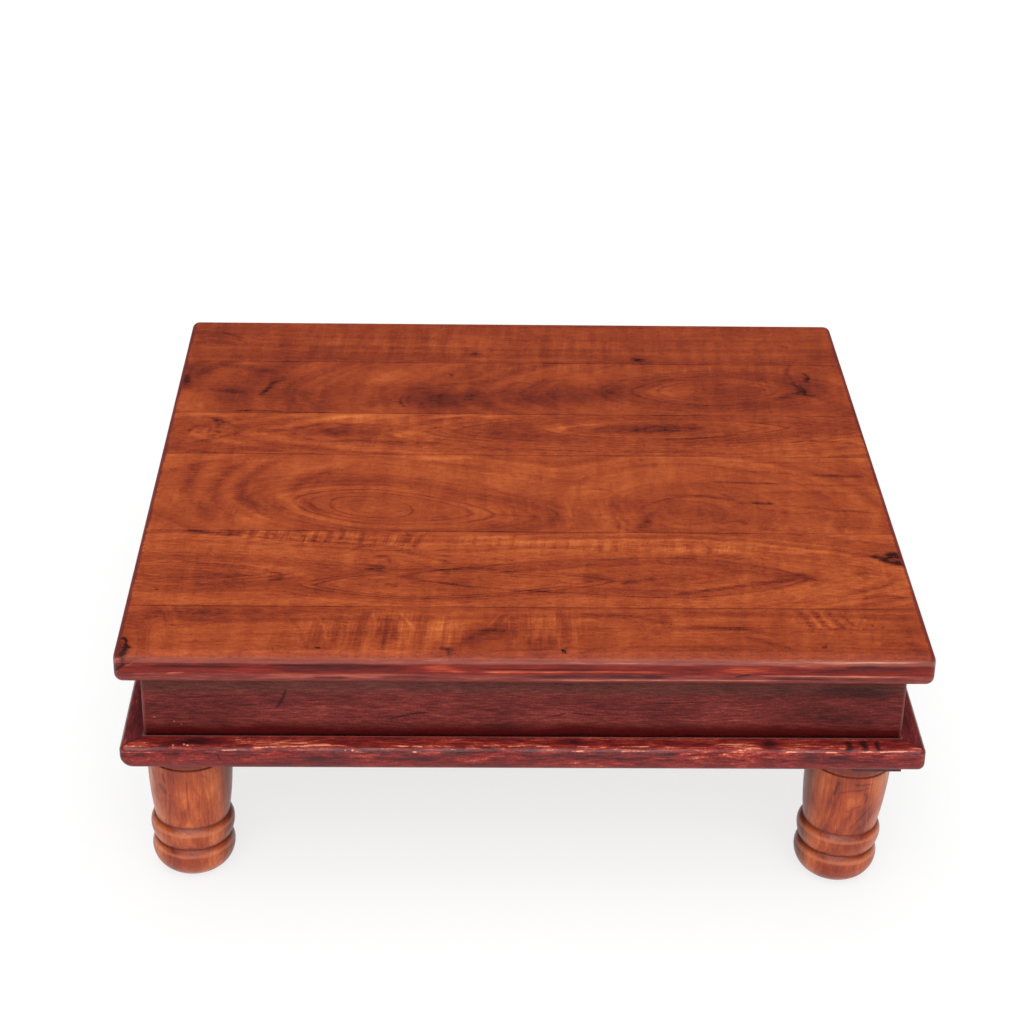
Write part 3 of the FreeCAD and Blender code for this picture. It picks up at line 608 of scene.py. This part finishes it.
boards["top_board_6"] = {
    "seed": 4.6, "tone": 0.06, "ringWidth": 8.0, "bands": 0.26, "streaks": 0.58,
    "eyes": [(-160, -260, 60, 60, 6, 2.0, 0, []), (120, -250, 60, 60, 6, 1.5, 0, []),
        (-225, -220, 5, 4, 8, 2.0, 0, [(1.0, 0.3, 0.55), (0.0, 0.6, -0.14)])],
    "strokes": [(-221, -218, -223, -229, 1, 1.6, 0.9), (-226, -186, -162, -189, 2, 6.5, 0.26),
        (-163, -188, -129, -184, -1, 4.5, 0.14), (-203, -197, -173, -195, -2, 1.8, 0.22),
        (-193, -218, -157, -217, 3, 1.6, 0.14), (-80, -187, -72, -216, 1, 2.4, 0.22),
        (-135, -184, -120, -228, 1, 1.2, 0.14), (-106, -187, -103, -223, 3, 1.1, 0.16),
        (-72, -180, -61, -204, -1, 1.0, -0.26), (-120, -184, -111, -220, 2, 0.9, -0.24),
        (-88, -182, -87, -213, 2, 0.9, -0.22), (-13, -180, -22, -200, 1, 1.0, -0.26),
        (-6, -180, -13, -197, 0, 1.0, -0.2), (-48, -219, -38, -224, -1, 1.4, 0.26),
        (-42, -219, -40, -229, -1, 1.2, 0.24), (-38, -219, -15, -199, 3, 2.8, 0.24),
        (-118, -221, -114, -222, 0, 1.2, 0.5), (28, -183, 72, -196, 0, 3.0, 0.14),
        (85, -200, 143, -205, 4, 2.4, 0.32), (29, -184, 92, -199, 4, 2.0, 0.24),
        (118, -205, 151, -221, -1, 2.0, 0.3), (90, -224, 116, -224, 5, 3.0, 0.16),
        (77, -179, 137, -185, 0, 1.6, 0.12), (144, -205, 182, -198, 1, 1.6, 0.14),
        (156, -176, 164, -200, -1, 1.6, 0.3), (164, -176, 172, -200, -1, 1.6, 0.3),
        (172, -177, 182, -203, -1, 1.5, 0.28), (178, -179, 189, -198, -1, 1.4, 0.24),
        (160, -177, 168, -201, 0, 1.0, -0.22), (168, -177, 176, -201, -1, 1.0, -0.2),
        (197, -217, 222, -217, 3, 3.0, 0.16), (64, -213, 87, -198, 1, 3.0, 0.12),
        (19, -224, 22, -224, 0, 1.6, 0.7), (165, -219, 169, -219, 0, 1.4, 0.55)],
    "spots": [(-92, -200, 22, 20, 0, 0.12), (-79, -206, 9, 16, 0, 0.12), (-108, -217, 20, 12, 0, 0.12),
        (-45, -200, 9, 13, 0, -0.06), (-36, -187, 11, 9, 0, -0.06), (-22, -203, 16, 13, 0, 0.2),
        (-30, -215, 13, 11, 0, 0.14), (-41, -223, 6, 5, 0, 0.14), (-11, -199, 10, 19, 0, 0.16),
        (7, -218, 11, 12, 0, 0.14), (17, -205, 12, 9, 0, -0.08), (79, -189, 5, 7, 0, 0.14),
        (218, -197, 11, 24, 0, 0.1), (219, -222, 8, 9, 0, 0.18), (-225, -222, 4, 9, 0, 0.3)],
    "knots": [(-187, -208, 0.8, 1.0, 0.42), (-196, -202, 0.7, 0.9, 0.42), (194, -185, 0.8, 1.3, 0.46),
        (197, -195, 0.8, 1.3, 0.46), (203, -197, 0.8, 1.0, 0.42), (191, -199, 0.8, 1.0, 0.4)],
    "curl": [(-80, -204, 66, 30, 0, 4, 0.24), (10, -200, 34, 28, 0, 0, 0.22),
        (176, -192, 40, 20, 0, 20, 0.14)],
}


def figure(place, look):
    seed = look["seed"]
    bent = useGroup(wander, vector=place, slide=0.0014, seed=seed)[0]
    fine = useGroup(wander, vector=bent, along=90.0, across=200.0, slide=0.0004, seed=seed)[0]
    cloud = noise(mapped(bent, place=(seed, 0, 0), scale=(16, 40, 40)), detail=5.0, roughness=0.58)
    patch = noise(mapped(fine, place=(0, seed, 0), scale=(45, 90, 90)), detail=3.0)
    patch = smoothRange(patch, 0.3, 0.62, 0.3, 1.0)
    streak, pore = useGroup(woodFibre, vector=fine)
    shimmer = useGroup(curlyGrain, vector=place, turn=0.06, across=110.0)[0]
    tone = topWood["middle"] + look["tone"] + centred(cloud, topWood["clouds"])
    tone = tone + centred(streak, look["streaks"]) + centred(shimmer, topWood["shimmer"])
    distances = []
    for across, back, left, right, width, point, turn, lines in look["eyes"]:
        eye = useGroup(growthEye, vector=fine, place=on(across, back), turn=math.radians(turn),
                       left=left * mm, right=right * mm, width=width * mm, point=point)[0]
        for at, lineWidth, strength in lines:
            tone = useGroup(ringLine, tone=tone, rings=eye, at=at, width=lineWidth, strength=strength,
                            patch=patch)[0]
        distances.append(eye * (width / look["ringWidth"]))
    nearest = distances[0]
    for distance in distances[1:]:
        nearest = maths("SMOOTH_MIN", nearest, distance, 1.5)
    line, band = useGroup(growthRings, rings=nearest, vector=bent, sharpness=0.6)
    tone = timesPlus(line, patch * topWood["rings"], tone + centred(band, look["bands"]))
    swell = topWood["knotSpread"]
    knots = [(across, back, length * swell, width * swell, 0, strength)
             for across, back, length, width, strength in look["knots"]]
    marks = addSpots(addStrokes(0.0, fine, look["strokes"], topWood["strokeSpread"]), fine, knots)
    tone = timesPlus(marks, smoothRange(streak, 0.3, 0.7, 0.42, 0.92), tone)
    tone = addSpots(tone, bent, look["spots"], topWood["spotSpread"])
    for across, back, length, width, turn, slant, strength in look["curl"]:
        region = addSpots(0.0, bent, [(across, back, length, width, turn, 1.0)], core=0.5)
        curl, hair = useGroup(curlyGrain, vector=place, turn=math.radians(slant))
        tone = timesPlus(region, centred(curl, strength) - hair * (strength * 0.6), tone)
    return timesPlus(pore, topWood["pores"], tone), cloud, streak, pore


def wayRound(reach, z, height):
    return (height - z) + (reach - cadBox[1].x)


def edgeTone(place):
    streaks = noise(mapped(place, scale=(80, 80, 1300)), detail=4.0, roughness=0.6)
    worn = noise(mapped(place, scale=(24, 24, 260)), detail=4.0, roughness=0.6)
    return topWood["edgeMiddle"] + centred(streaks, 0.9) + centred(worn, 0.6), worn


def topBoard(name, look):
    material, place = newMaterial(name + "Wood")
    tone, cloud, streak, pore = figure(place, look)
    low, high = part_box(name)
    x, y, z = axes(place)
    for seam in (low.y, high.y):
        if abs(seam) < cadBox[1].y - mm:
            dark = fade(abs(y - seam), 0.0002, 0.0009)
            tone = timesPlus(dark, timesPlus(cloud, 0.9, -0.22), tone)
    colour = toneColour(tone, topWood["tones"])

    strip = topWood["sideRim"] * mm
    side = maths("MAXIMUM", abs(x) - cadBox[1].x, y - cadBox[1].y)
    ragged = centred(cloud, 0.004) + centred(streak, 0.003)
    rim = smoothRange(side + ragged, -0.001 - strip, 0.0004 - strip)
    colour = mixColour(rim * topWood["rimShare"], colour, topWood["rim"])

    reach = maths("MAXIMUM", abs(x), abs(y))
    down = wayRound(reach, z, high.z)
    edge, worn = edgeTone(place)
    ends = maths("GREATER_THAN", abs(x), abs(y) + 0.0004)
    if low.y < cadBox[0].y + mm:         # only the front board has a front edge
        chart = joined(x, down, 0.0)
        chart = vectorMaths("ADD", chart, joined(centred(cloud, 0.008), centred(worn, 0.0016), 0.0))
        marked = addSpots(addStrokes(edge, chart, topWood["edgeStrokes"]), chart, topWood["edgeSpots"])
        crease = (x + 0.229) - timesPlus(down, -1.7, 0.0204)
        front = (1.0 - ends) * smoothRange(crease, 0.0, 0.0012)
        edge = timesPlus(marked - edge, front, edge)
        edge = addSpots(addStrokes(edge, chart, topWood["cornerStrokes"]), chart, topWood["cornerSpots"])
        ends = 1.0 - front
    edge = timesPlus(ends, topWood["endsDarker"], edge)
    loose = down + centred(worn, 0.0022)
    # round the edge: the wash with its painted highlight, the stained face, and the lower arris painted
    # paler for the light from the floor
    for part, start, end, amount in topWood["edgeParts"]:
        mask = smoothRange(loose, start * mm, end * mm, 0.0, amount)
        colour = mixColour(mask, colour, toneColour(edge, topWood[part]))

    hidden = maths("LESS_THAN", z, low.z + 0.0002) * maths("LESS_THAN", reach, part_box("apron_right")[1].x)
    dull = between(down, -0.005, -0.002, 0.001, 0.0028, topWood["dull"])
    polish = between(down, 0.0016, 0.0032, 0.005, 0.008)
    return finished(material, {
        "Base Color": mixColour(hidden, colour, topWood["raw"]),
        "Roughness": timesPlus(cloud, 0.16, topWood["roughness"] - 0.08) + dull,
        "Coat Weight": polish * smoothRange(x, -0.16, 0.12, 0.1, 0.5),
        "Coat Roughness": topWood["coatRoughness"],
        "Specular IOR Level": topWood["specular"],
        "Normal": bumped(streak * 0.6 - pore * 0.5, topWood["relief"])})


# Heights are millimetres above the floor.
apronWood = {
    # the greyish upper part is a painted sheen over the stain; the lower part is the stain itself
    "upper": [(0.0, (124, 72, 64)), (0.3, (104, 52, 46)), (0.6, (90, 42, 36)), (1.0, (58, 26, 24))],
    "lower": [(0.0, (154, 72, 62)), (0.3, (122, 48, 42)), (0.6, (96, 33, 30)), (1.0, (58, 20, 20))],
    # the dark foot is pooled stain deepened with painted shade; the near-black line under it is a painted
    # shadow where the apron meets the base
    "foot": srgb(70, 3, 3), "contact": srgb(26, 2, 2), "dust": srgb(140, 84, 80),
    "upperFrom": 132, "upperTo": 139,    # where the greyish upper part begins
    "footFrom": 110.5, "footTo": 116.5,
    "footShare": 0.94, "contactShare": 0.85, "dustShare": 0.4,
    "specular": 0.12, "roughness": 0.38, "relief": 0.0002,
    "middle": 0.52, "streaks": 1.5, "clouds": 0.95,      # shares of the tone
    # marks on the front, by place to the right and height
    "strokes": [(-134, 139, -141, 124, 1, 1.6, 0.5), (-80, 117, -52, 123, 1, 0.9, 0.6),
        (15, 120, 25, 123, 0, 0.7, 0.7), (25, 123, 41, 121, 0, 0.7, 0.6),
        (-200, 131, -150, 133, 1, 0.9, 0.3), (60, 128, 130, 130, 1, 0.9, 0.25)],
    "spots": [(186, 137, 34, 6, 0, 0.4), (176, 127, 70, 20, 0, 0.24), (-13, 113, 16, 4, 0, 0.4),
        (-209, 119, 1, 1, 0, -1.0), (-198, 116, 1, 1, 0, -0.9), (-194, 114, 1, 1, 0, -0.9)],
}


baseWood = {
    "tones": [(0.0, (230, 156, 122)), (0.12, (196, 102, 74)), (0.28, (160, 58, 46)), (0.5, (126, 37, 34)),
        (0.7, (96, 27, 27)), (0.88, (70, 24, 27)), (1.0, (44, 18, 20))],
    "film": srgb(124, 54, 53),   # pinkish light painted on the lower half of the edge, for the light from the floor
    "filmShares": (0.04, 0.46), "sideFilm": srgb(84, 38, 46), "sideShare": 0.45,
    "raw": srgb(170, 116, 80), "rawShare": 0.8, "dustShare": 0.75,
    "specular": 0.17, "roughness": 0.36, "coat": 0.45, "coatRoughness": 0.3, "relief": 0.00025,
    "middle": 0.6, "streaks": 1.6, "clouds": 0.9, "blotches": 1.3, "wear": 0.32,     # shares of the tone
    # arris: how far the highlight painted on the other rails' upper arris lightens it
    "arris": 0.4, "mitres": 0.4,
    "wearFrom": -5.0, "wearTo": 3.0,     # where wear shows, millimetres round the upper arris
    # marks on the front rail, by place to the right and way down round its upper edge; most pale lines 1 to
    # 3 mm round it paint the arris highlight, the pale dashes above it are wear
    "strokes": [(-226, 3, -208, 3, 0, 0.7, -0.4), (-210, 3, -170, 2, 0, 0.6, -0.34),
        (-172, 1, -160, 1, 0, 0.8, -0.7), (-155, -1, -133, -2, 0, 0.9, -0.5),
        (-134, -2, -108, -4, 0, 1.6, -0.4), (-173, 3, -171, 9, 0, 0.9, 0.35),
        (-119, -3, -98, -3, 0, 0.7, -0.45), (-72, -3, -65, -3, 0, 0.7, -0.6),
        (-64, -3, -57, -3, 0, 0.6, -0.4), (-55, -3, -51, -3, 0, 0.8, -0.6),
        (-46, -3, -38, -3, 0, 0.6, -0.45), (-34, -3, -28, -3, 0, 0.6, -0.4),
        (-25, -3, -12, -4, 0, 0.7, -0.45), (-10, -3, -1, -3, 0, 0.6, -0.45), (-119, 1, -3, 1, 0, 1.6, 0.22),
        (-42, 0, -37, 0, 0, 0.7, -0.6), (-98, 5, -60, 5, 0, 1.4, -0.26), (-75, 7, -45, 7, 0, 1.3, 0.3),
        (5, -3, 16, -3, 0, 0.6, -0.45), (29, -3, 37, -3, 0, 0.6, -0.45), (52, -3, 74, -3, 0, 0.7, -0.5),
        (26, 1, 35, 1, 0, 0.9, -0.45), (53, 1, 70, 1, 0, 1.3, -0.5), (45, 5, 112, 5, 0, 2.2, -0.3),
        (144, 1, 186, 1, 0, 0.8, -0.5), (184, 1, 228, 0, 0, 1.1, -0.5), (185, -10, 184, 2, 0, 3.2, 0.6),
        (193, -11, 194, 1, 0, 3.0, 0.65), (201, -11, 201, 1, 0, 2.2, 0.55),
        (106, -6, 136, -5, 0, 1.6, -0.3)],
    "spots": [(-184, -7, 34, 8, 0, 0.4), (-190, 3, 18, 4, 0, 0.4), (-190, -3, 1, 1, 0, -1.2),
        (-198, -3, 1, 1, 0, -0.8), (-192, -4, 1, 1, 0, -0.8), (-101, 1, 1, 1, 0, -1.0),
        (-97, 1, 1, 1, 0, -1.0), (-62, 2, 2, 1, 0, -0.8), (-145, 1, 6, 2, 0, 0.25),
        (-216, 5, 6, 2, 0, 0.28), (30, -9, 13, 5, 0, 0.34), (124, 0, 16, 6, 0, -0.3),
        (139, -6, 7, 8, 0, 0.45), (163, -5, 20, 3, 0, -0.26), (190, 7, 44, 5, 0, 0.16),
        (147, 7, 5, 2, 0, 0.4), (-118, 7, 6, 2, 0, 0.3)],
}


def stainFibre(place, turn, seed):
    along = mapped(place, turn=(0, 0, turn))
    bent = useGroup(wander, vector=along, along=10.0, across=60.0, slide=0.0012, seed=seed)[0]
    streak, pore = useGroup(woodFibre, vector=bent, along=130.0, across=1000.0)
    cloud = noise(mapped(bent, scale=(20, 75, 75)), detail=4.0, roughness=0.6)
    return bent, streak, pore, cloud


def stainTone(look, streak, cloud):
    return look["middle"] + (centred(streak, look["streaks"]) + centred(cloud, look["clouds"]))


def apronBoard(name, turn):
    material, place = newMaterial(name + "Wood")
    bent, streak, pore, cloud = stainFibre(place, turn, 2.0 + turn * 0.01)
    x, y, z = axes(place)
    tone = stainTone(apronWood, streak, cloud)
    if name == "apron_front":
        chart = joined(x, z, centred(cloud, 0.001))
        tone = addSpots(addStrokes(tone, chart, apronWood["strokes"]), chart, apronWood["spots"])
    uneven = z + centred(cloud, 0.012)
    # painted sheen: the upper part of the apron greyer
    upper = smoothRange(uneven, apronWood["upperFrom"] * mm, apronWood["upperTo"] * mm)
    colour = mixColour(upper, toneColour(tone, apronWood["lower"]), toneColour(tone, apronWood["upper"]))
    # the foot: stain pooled dark red, deepened with painted shade above the base
    foot = fade(uneven, apronWood["footFrom"] * mm, apronWood["footTo"] * mm, apronWood["footShare"])
    colour = mixColour(foot, colour, apronWood["foot"])
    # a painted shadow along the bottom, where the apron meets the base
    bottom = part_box(name)[0].z
    contact = fade(z + centred(cloud, 0.004), bottom + 0.0008, bottom + 0.0028, apronWood["contactShare"])
    colour = mixColour(contact, colour, apronWood["contact"])
    corner = maths("MINIMUM", abs(x), abs(y)) - (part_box("apron_right")[1].x - 0.0005)
    corner = smoothRange(corner + centred(cloud, 0.002), -0.0016, 0.0, 0.0, apronWood["dustShare"])
    return finished(material, {
        "Base Color": mixColour(corner, colour, apronWood["dust"]),
        "Roughness": timesPlus(cloud, 0.2, apronWood["roughness"] - 0.1),
        "Specular IOR Level": apronWood["specular"],
        "Normal": bumped(streak * 0.6 - pore * 0.5, apronWood["relief"])})


def baseRail(name, turn):
    material, place = newMaterial(name + "Wood")
    bent, streak, pore, cloud = stainFibre(place, turn, 5.0 + turn * 0.01)
    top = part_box(name)[1].z
    x, y, z = axes(place)
    reach = maths("MAXIMUM", abs(x), abs(y))
    down = wayRound(reach, z, top)
    blotch = noise(mapped(bent, place=(3.3, 0, 0), scale=(40, 160, 160)), detail=4.0, roughness=0.65)
    tone = stainTone(baseWood, streak, cloud) + smoothRange(down, -0.004, 0.003, -0.15, 0.03)
    tone = tone + centred(blotch, baseWood["blotches"])
    dashes = noise(mapped(bent, place=(7.1, 0, 0), scale=(110, 1100, 1100)))
    start, end = baseWood["wearFrom"], baseWood["wearTo"]
    where = between(down, start * mm, (start + 2) * mm, (end - 1) * mm, (end + 2) * mm)
    tone = tone - where * smoothRange(dashes, 0.52, 0.74, 0.0, baseWood["wear"])
    if name == "base_rail_front":
        chart = joined(x + centred(blotch, 0.004), down + centred(cloud, 0.0015), 0.0)
        tone = addSpots(addStrokes(tone, chart, baseWood["strokes"]), chart, baseWood["spots"])
    else:
        # a pale line along the upper arris of the other rails paints its highlight
        arris = abs(down + centred(cloud, 0.002))
        tone = (tone + 0.1) - fade(arris, 0.0002, 0.001, baseWood["arris"])
    tone = tone + fade(abs(abs(x) - abs(y)), 0.0001, 0.0007, baseWood["mitres"])
    # painted light from the floor on the lower half of the edge
    film = smoothRange(down + centred(cloud, 0.006), 0.002, 0.013, *baseWood["filmShares"])
    colour = mixColour(film, toneColour(tone, baseWood["tones"]), baseWood["film"])
    if turn:
        colour = mixColour(baseWood["sideShare"], colour, baseWood["sideFilm"])
    inner, outer = [corner.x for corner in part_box("apron_right")]
    dust = fade(abs(reach - outer), 0.0003, 0.0012, baseWood["dustShare"])
    colour = mixColour(dust * maths("GREATER_THAN", z, top - 0.0002), colour, apronWood["dust"])
    inside = maths("LESS_THAN", reach, inner) * baseWood["rawShare"]
    polish = fade(abs(down), 0.002, 0.006, baseWood["coat"])
    return finished(material, {
        "Base Color": mixColour(inside, colour, baseWood["raw"]),
        "Roughness": timesPlus(cloud, 0.2, baseWood["roughness"] - 0.1),
        "Coat Weight": polish * smoothRange(cloud, 0.35, 0.6),
        "Coat Roughness": baseWood["coatRoughness"],
        "Specular IOR Level": baseWood["specular"],
        "Normal": bumped(streak * 0.5 + cloud * 1.2, baseWood["relief"])})


# Heights on a leg are millimetres below the base frame. Marks on the front of a leg are placed
# by millimetres to the right of its axis and below the frame.
legs = {}

legs["leg_front_left"] = {
    "axis": (-193.8, -187.5), "lean": 0, "seed": 2.1, "tone": 0.0, "inner": 1,
    "strokes": [(0, 18, 0, 42, 0, 0.6, 0.3), (-20, 16, -16, 34, 1, 1.2, 0.3),
        (-16, 24, -12, 32, 0, 1.6, 0.36), (-14, 16, -12, 24, 0, 1.0, 0.3), (-19, 30, -17, 40, 0, 1.0, 0.26),
        (4, 22, 9, 34, 1, 0.7, 0.16), (-8, 30, -5, 52, 1, 1.0, 0.14), (8, 16, 12, 20, 0, 0.8, 0.2)],
    "spots": [(-17, 24, 6, 12, 0, 0.2), (-3, 34, 9, 14, 0, -0.12)],
}

legs["leg_front_right"] = {
    "axis": (192, -192), "lean": 3.2, "seed": 6.4, "tone": 0.02, "inner": -1,
    "strokes": [(-19, 14, -18, 33, 1, 0.7, 0.26), (-14, 13, -15, 38, 1, 0.7, 0.24),
        (-8, 15, -10, 28, 0, 0.9, 0.4), (-8, 25, 7, 22, -2, 0.7, 0.26), (7, 23, 8, 32, -2, 0.8, 0.3),
        (8, 32, -3, 38, 1, 0.7, 0.24), (-4, 27, 4, 26, -1, 0.6, 0.2), (0, 17, 13, 18, 0, 0.8, 0.34),
        (2, 21, 12, 20, 0, 0.6, 0.26), (-1, 53, 17, 27, 1, 0.7, 0.22), (4, 54, 19, 36, 1, 0.6, 0.16)],
    "spots": [(0, 30, 9, 8, 0, -0.12), (12, 40, 6, 10, 0, 0.1)],
}

for side, across, seed, inner in (("right", 192, 8.8, -1), ("left", -192, 4.5, 1)):
    legs["leg_rear_" + side] = {"axis": (across, 192), "lean": 0, "seed": seed, "tone": 0.0,
                                "inner": inner, "strokes": [], "spots": []}


legWood = {
    "tones": [(0.0, (216, 128, 74)), (0.3, (187, 94, 48)), (0.5, (168, 73, 34)), (0.72, (142, 54, 27)),
        (1.0, (96, 33, 20))],
    # crease: painted shade in the grooves; stain: the collar's stain; worn: painted highlight on the ring
    # and foot shoulders
    "crease": srgb(92, 34, 26), "stain": srgb(112, 46, 38), "worn": srgb(212, 152, 124),
    "shade": srgb(76, 26, 22), "shadeShare": 0.75, "stainShare": 0.75,
    "frameHeight": 92,       # of the frame's underside above the floor
    "scribe": 12.5,          # where the stained collar ends
    # pale bands on the ring and foot shoulders, which paint their highlights, and dark grooves, which paint
    # the shade in them: its colour, height, core and reach to each side, how fully
    "lines": [("worn", 58.6, 0.2, 1.8, 0.26), ("worn", 73.7, 0.2, 1.8, 0.26),
        ("crease", 55.2, 0.1, 2.0, 0.7), ("crease", 70.3, 0.1, 1.9, 0.8), ("crease", 12.5, 0.1, 1.5, 0.6)],
    "heart": 14,             # millimetres from the axis to the middle of the rings
    "middle": 0.44, "streaks": 0.65, "clouds": 1.1, "bands": 0.4, "rings": 0.2, "pores": 0.1,
    "marks": 0.78, "strokeSpread": 1.7,
    "specular": 0.25, "roughness": 0.4, "coat": 0.2, "coatRoughness": 0.18, "relief": 0.0003,
}


def turnedLeg(name, look):
    material, place = newMaterial(name + "Wood")
    across, back = look["axis"]
    shoulder = (across * mm, back * mm, legWood["frameHeight"] * mm)
    turned = rotated(vectorMaths("SUBTRACT", place, shoulder), math.radians(-look["lean"]), "Y_AXIS")
    across, ahead, up = axes(turned)
    drop = up * -1.0
    bent = useGroup(wander, vector=mapped(turned, turn=(0, 90, 0)), along=18.0, across=55.0,
                    slide=0.0018, seed=look["seed"])[0]
    x, y, z = axes(bent)
    radius = maths("SQRT", maths("POWER", y + legWood["heart"] * mm, 2.0) + maths("POWER", z, 2.0))
    line, band = useGroup(growthRings, rings=radius / 0.0036, vector=bent, sharpness=0.35)
    streak, pore = useGroup(woodFibre, vector=bent, along=55.0, across=1100.0)
    cloud = noise(mapped(bent, place=(look["seed"], 0, 0), scale=(45, 70, 70)), detail=4.0)
    tone = legWood["middle"] + look["tone"] + centred(streak, legWood["streaks"])
    tone = tone + centred(cloud, legWood["clouds"]) + centred(band, legWood["bands"])
    tone = timesPlus(pore, legWood["pores"], timesPlus(line, legWood["rings"], tone))
    chart = joined(across + centred(cloud, 0.004), drop + centred(streak, 0.003), 0.0)
    marks = addStrokes(0.0, chart, look["strokes"], legWood["strokeSpread"])
    marks = addSpots(marks, chart, look["spots"])
    tone = timesPlus(maths("LESS_THAN", ahead, 0.0) * legWood["marks"], marks, tone)
    colour = toneColour(tone, legWood["tones"])
    shade = smoothRange(across * look["inner"], 0.016, 0.0245, 0.0, legWood["shadeShare"])
    colour = mixColour(shade, colour, legWood["shade"])
    ragged = centred(cloud, 0.0016)
    # painted highlights on the shoulders and painted shade in the grooves
    for part, at, core, rim, strength in legWood["lines"]:
        off = abs(drop - at * mm) + ragged
        colour = mixColour(fade(off, core * mm, rim * mm, strength), colour, legWood[part])
    scribe = legWood["scribe"]
    collar = fade(drop + ragged, (scribe - 2.5) * mm, scribe * mm, legWood["stainShare"])
    return finished(material, {
        "Base Color": mixColour(collar, colour, legWood["stain"]),
        "Roughness": timesPlus(cloud, 0.24, legWood["roughness"] - 0.12),
        "Specular IOR Level": legWood["specular"],
        "Coat Weight": legWood["coat"],
        "Coat Roughness": legWood["coatRoughness"],
        "Normal": bumped(streak * 0.4 + cloud * 1.0, legWood["relief"])})


hiddenWood = {
    "sawn": (srgb(178, 128, 84), srgb(150, 98, 60)),
    "slip": (srgb(84, 34, 36), srgb(56, 22, 24)),
    "roughness": 0.7, "relief": 0.0002,
}


def plainWood(name, tones, turn):
    material, place = newMaterial(name)
    bent = useGroup(wander, vector=mapped(place, turn=(0, 0, turn)))[0]
    streak, pore = useGroup(woodFibre, vector=bent)
    return finished(material, {
        "Base Color": mixColour(smoothRange(streak, 0.3, 0.7), *tones),
        "Roughness": hiddenWood["roughness"],
        "Normal": bumped(streak, hiddenWood["relief"])})


screwMetal = {"bright": srgb(190, 188, 180), "grimy": srgb(120, 112, 100), "smooth": 0.3, "rough": 0.55}


def screwSteel():
    material, place = newMaterial("screwSteel")
    grime = noise(place, scale=700.0, detail=3.0)
    return finished(material, {
        "Base Color": mixColour(grime, screwMetal["bright"], screwMetal["grimy"]),
        "Metallic": 1,
        "Roughness": smoothRange(grime, 0.2, 0.8, screwMetal["smooth"], screwMetal["rough"])})


def dress(node, material):
    mesh = nodes[node].data
    mesh.materials.clear()
    mesh.materials.append(material)


for name, look in boards.items():
    dress(name, topBoard(name, look))
for side, turn in (("front", 0), ("rear", 0), ("left", 90), ("right", 90)):
    dress("apron_" + side, apronBoard("apron_" + side, turn))
    dress("base_rail_" + side, baseRail("base_rail_" + side, turn))
for name, look in legs.items():
    dress(name, turnedLeg(name, look))
innerLong = plainWood("battenWood", hiddenWood["sawn"], 90)
innerAcross = plainWood("blockWood", hiddenWood["sawn"], 0)
for name in nodes:
    if name.startswith(("top_batten", "glue_block", "corner_block")):
        dress(name, innerLong if name.endswith(("left", "right")) else innerAcross)
dress("packing_slip", plainWood("slipWood", hiddenWood["slip"], 0))
steel = screwSteel()
dress("batten_screws", steel)
dress("rail_screws", steel)
print("woods and steel")
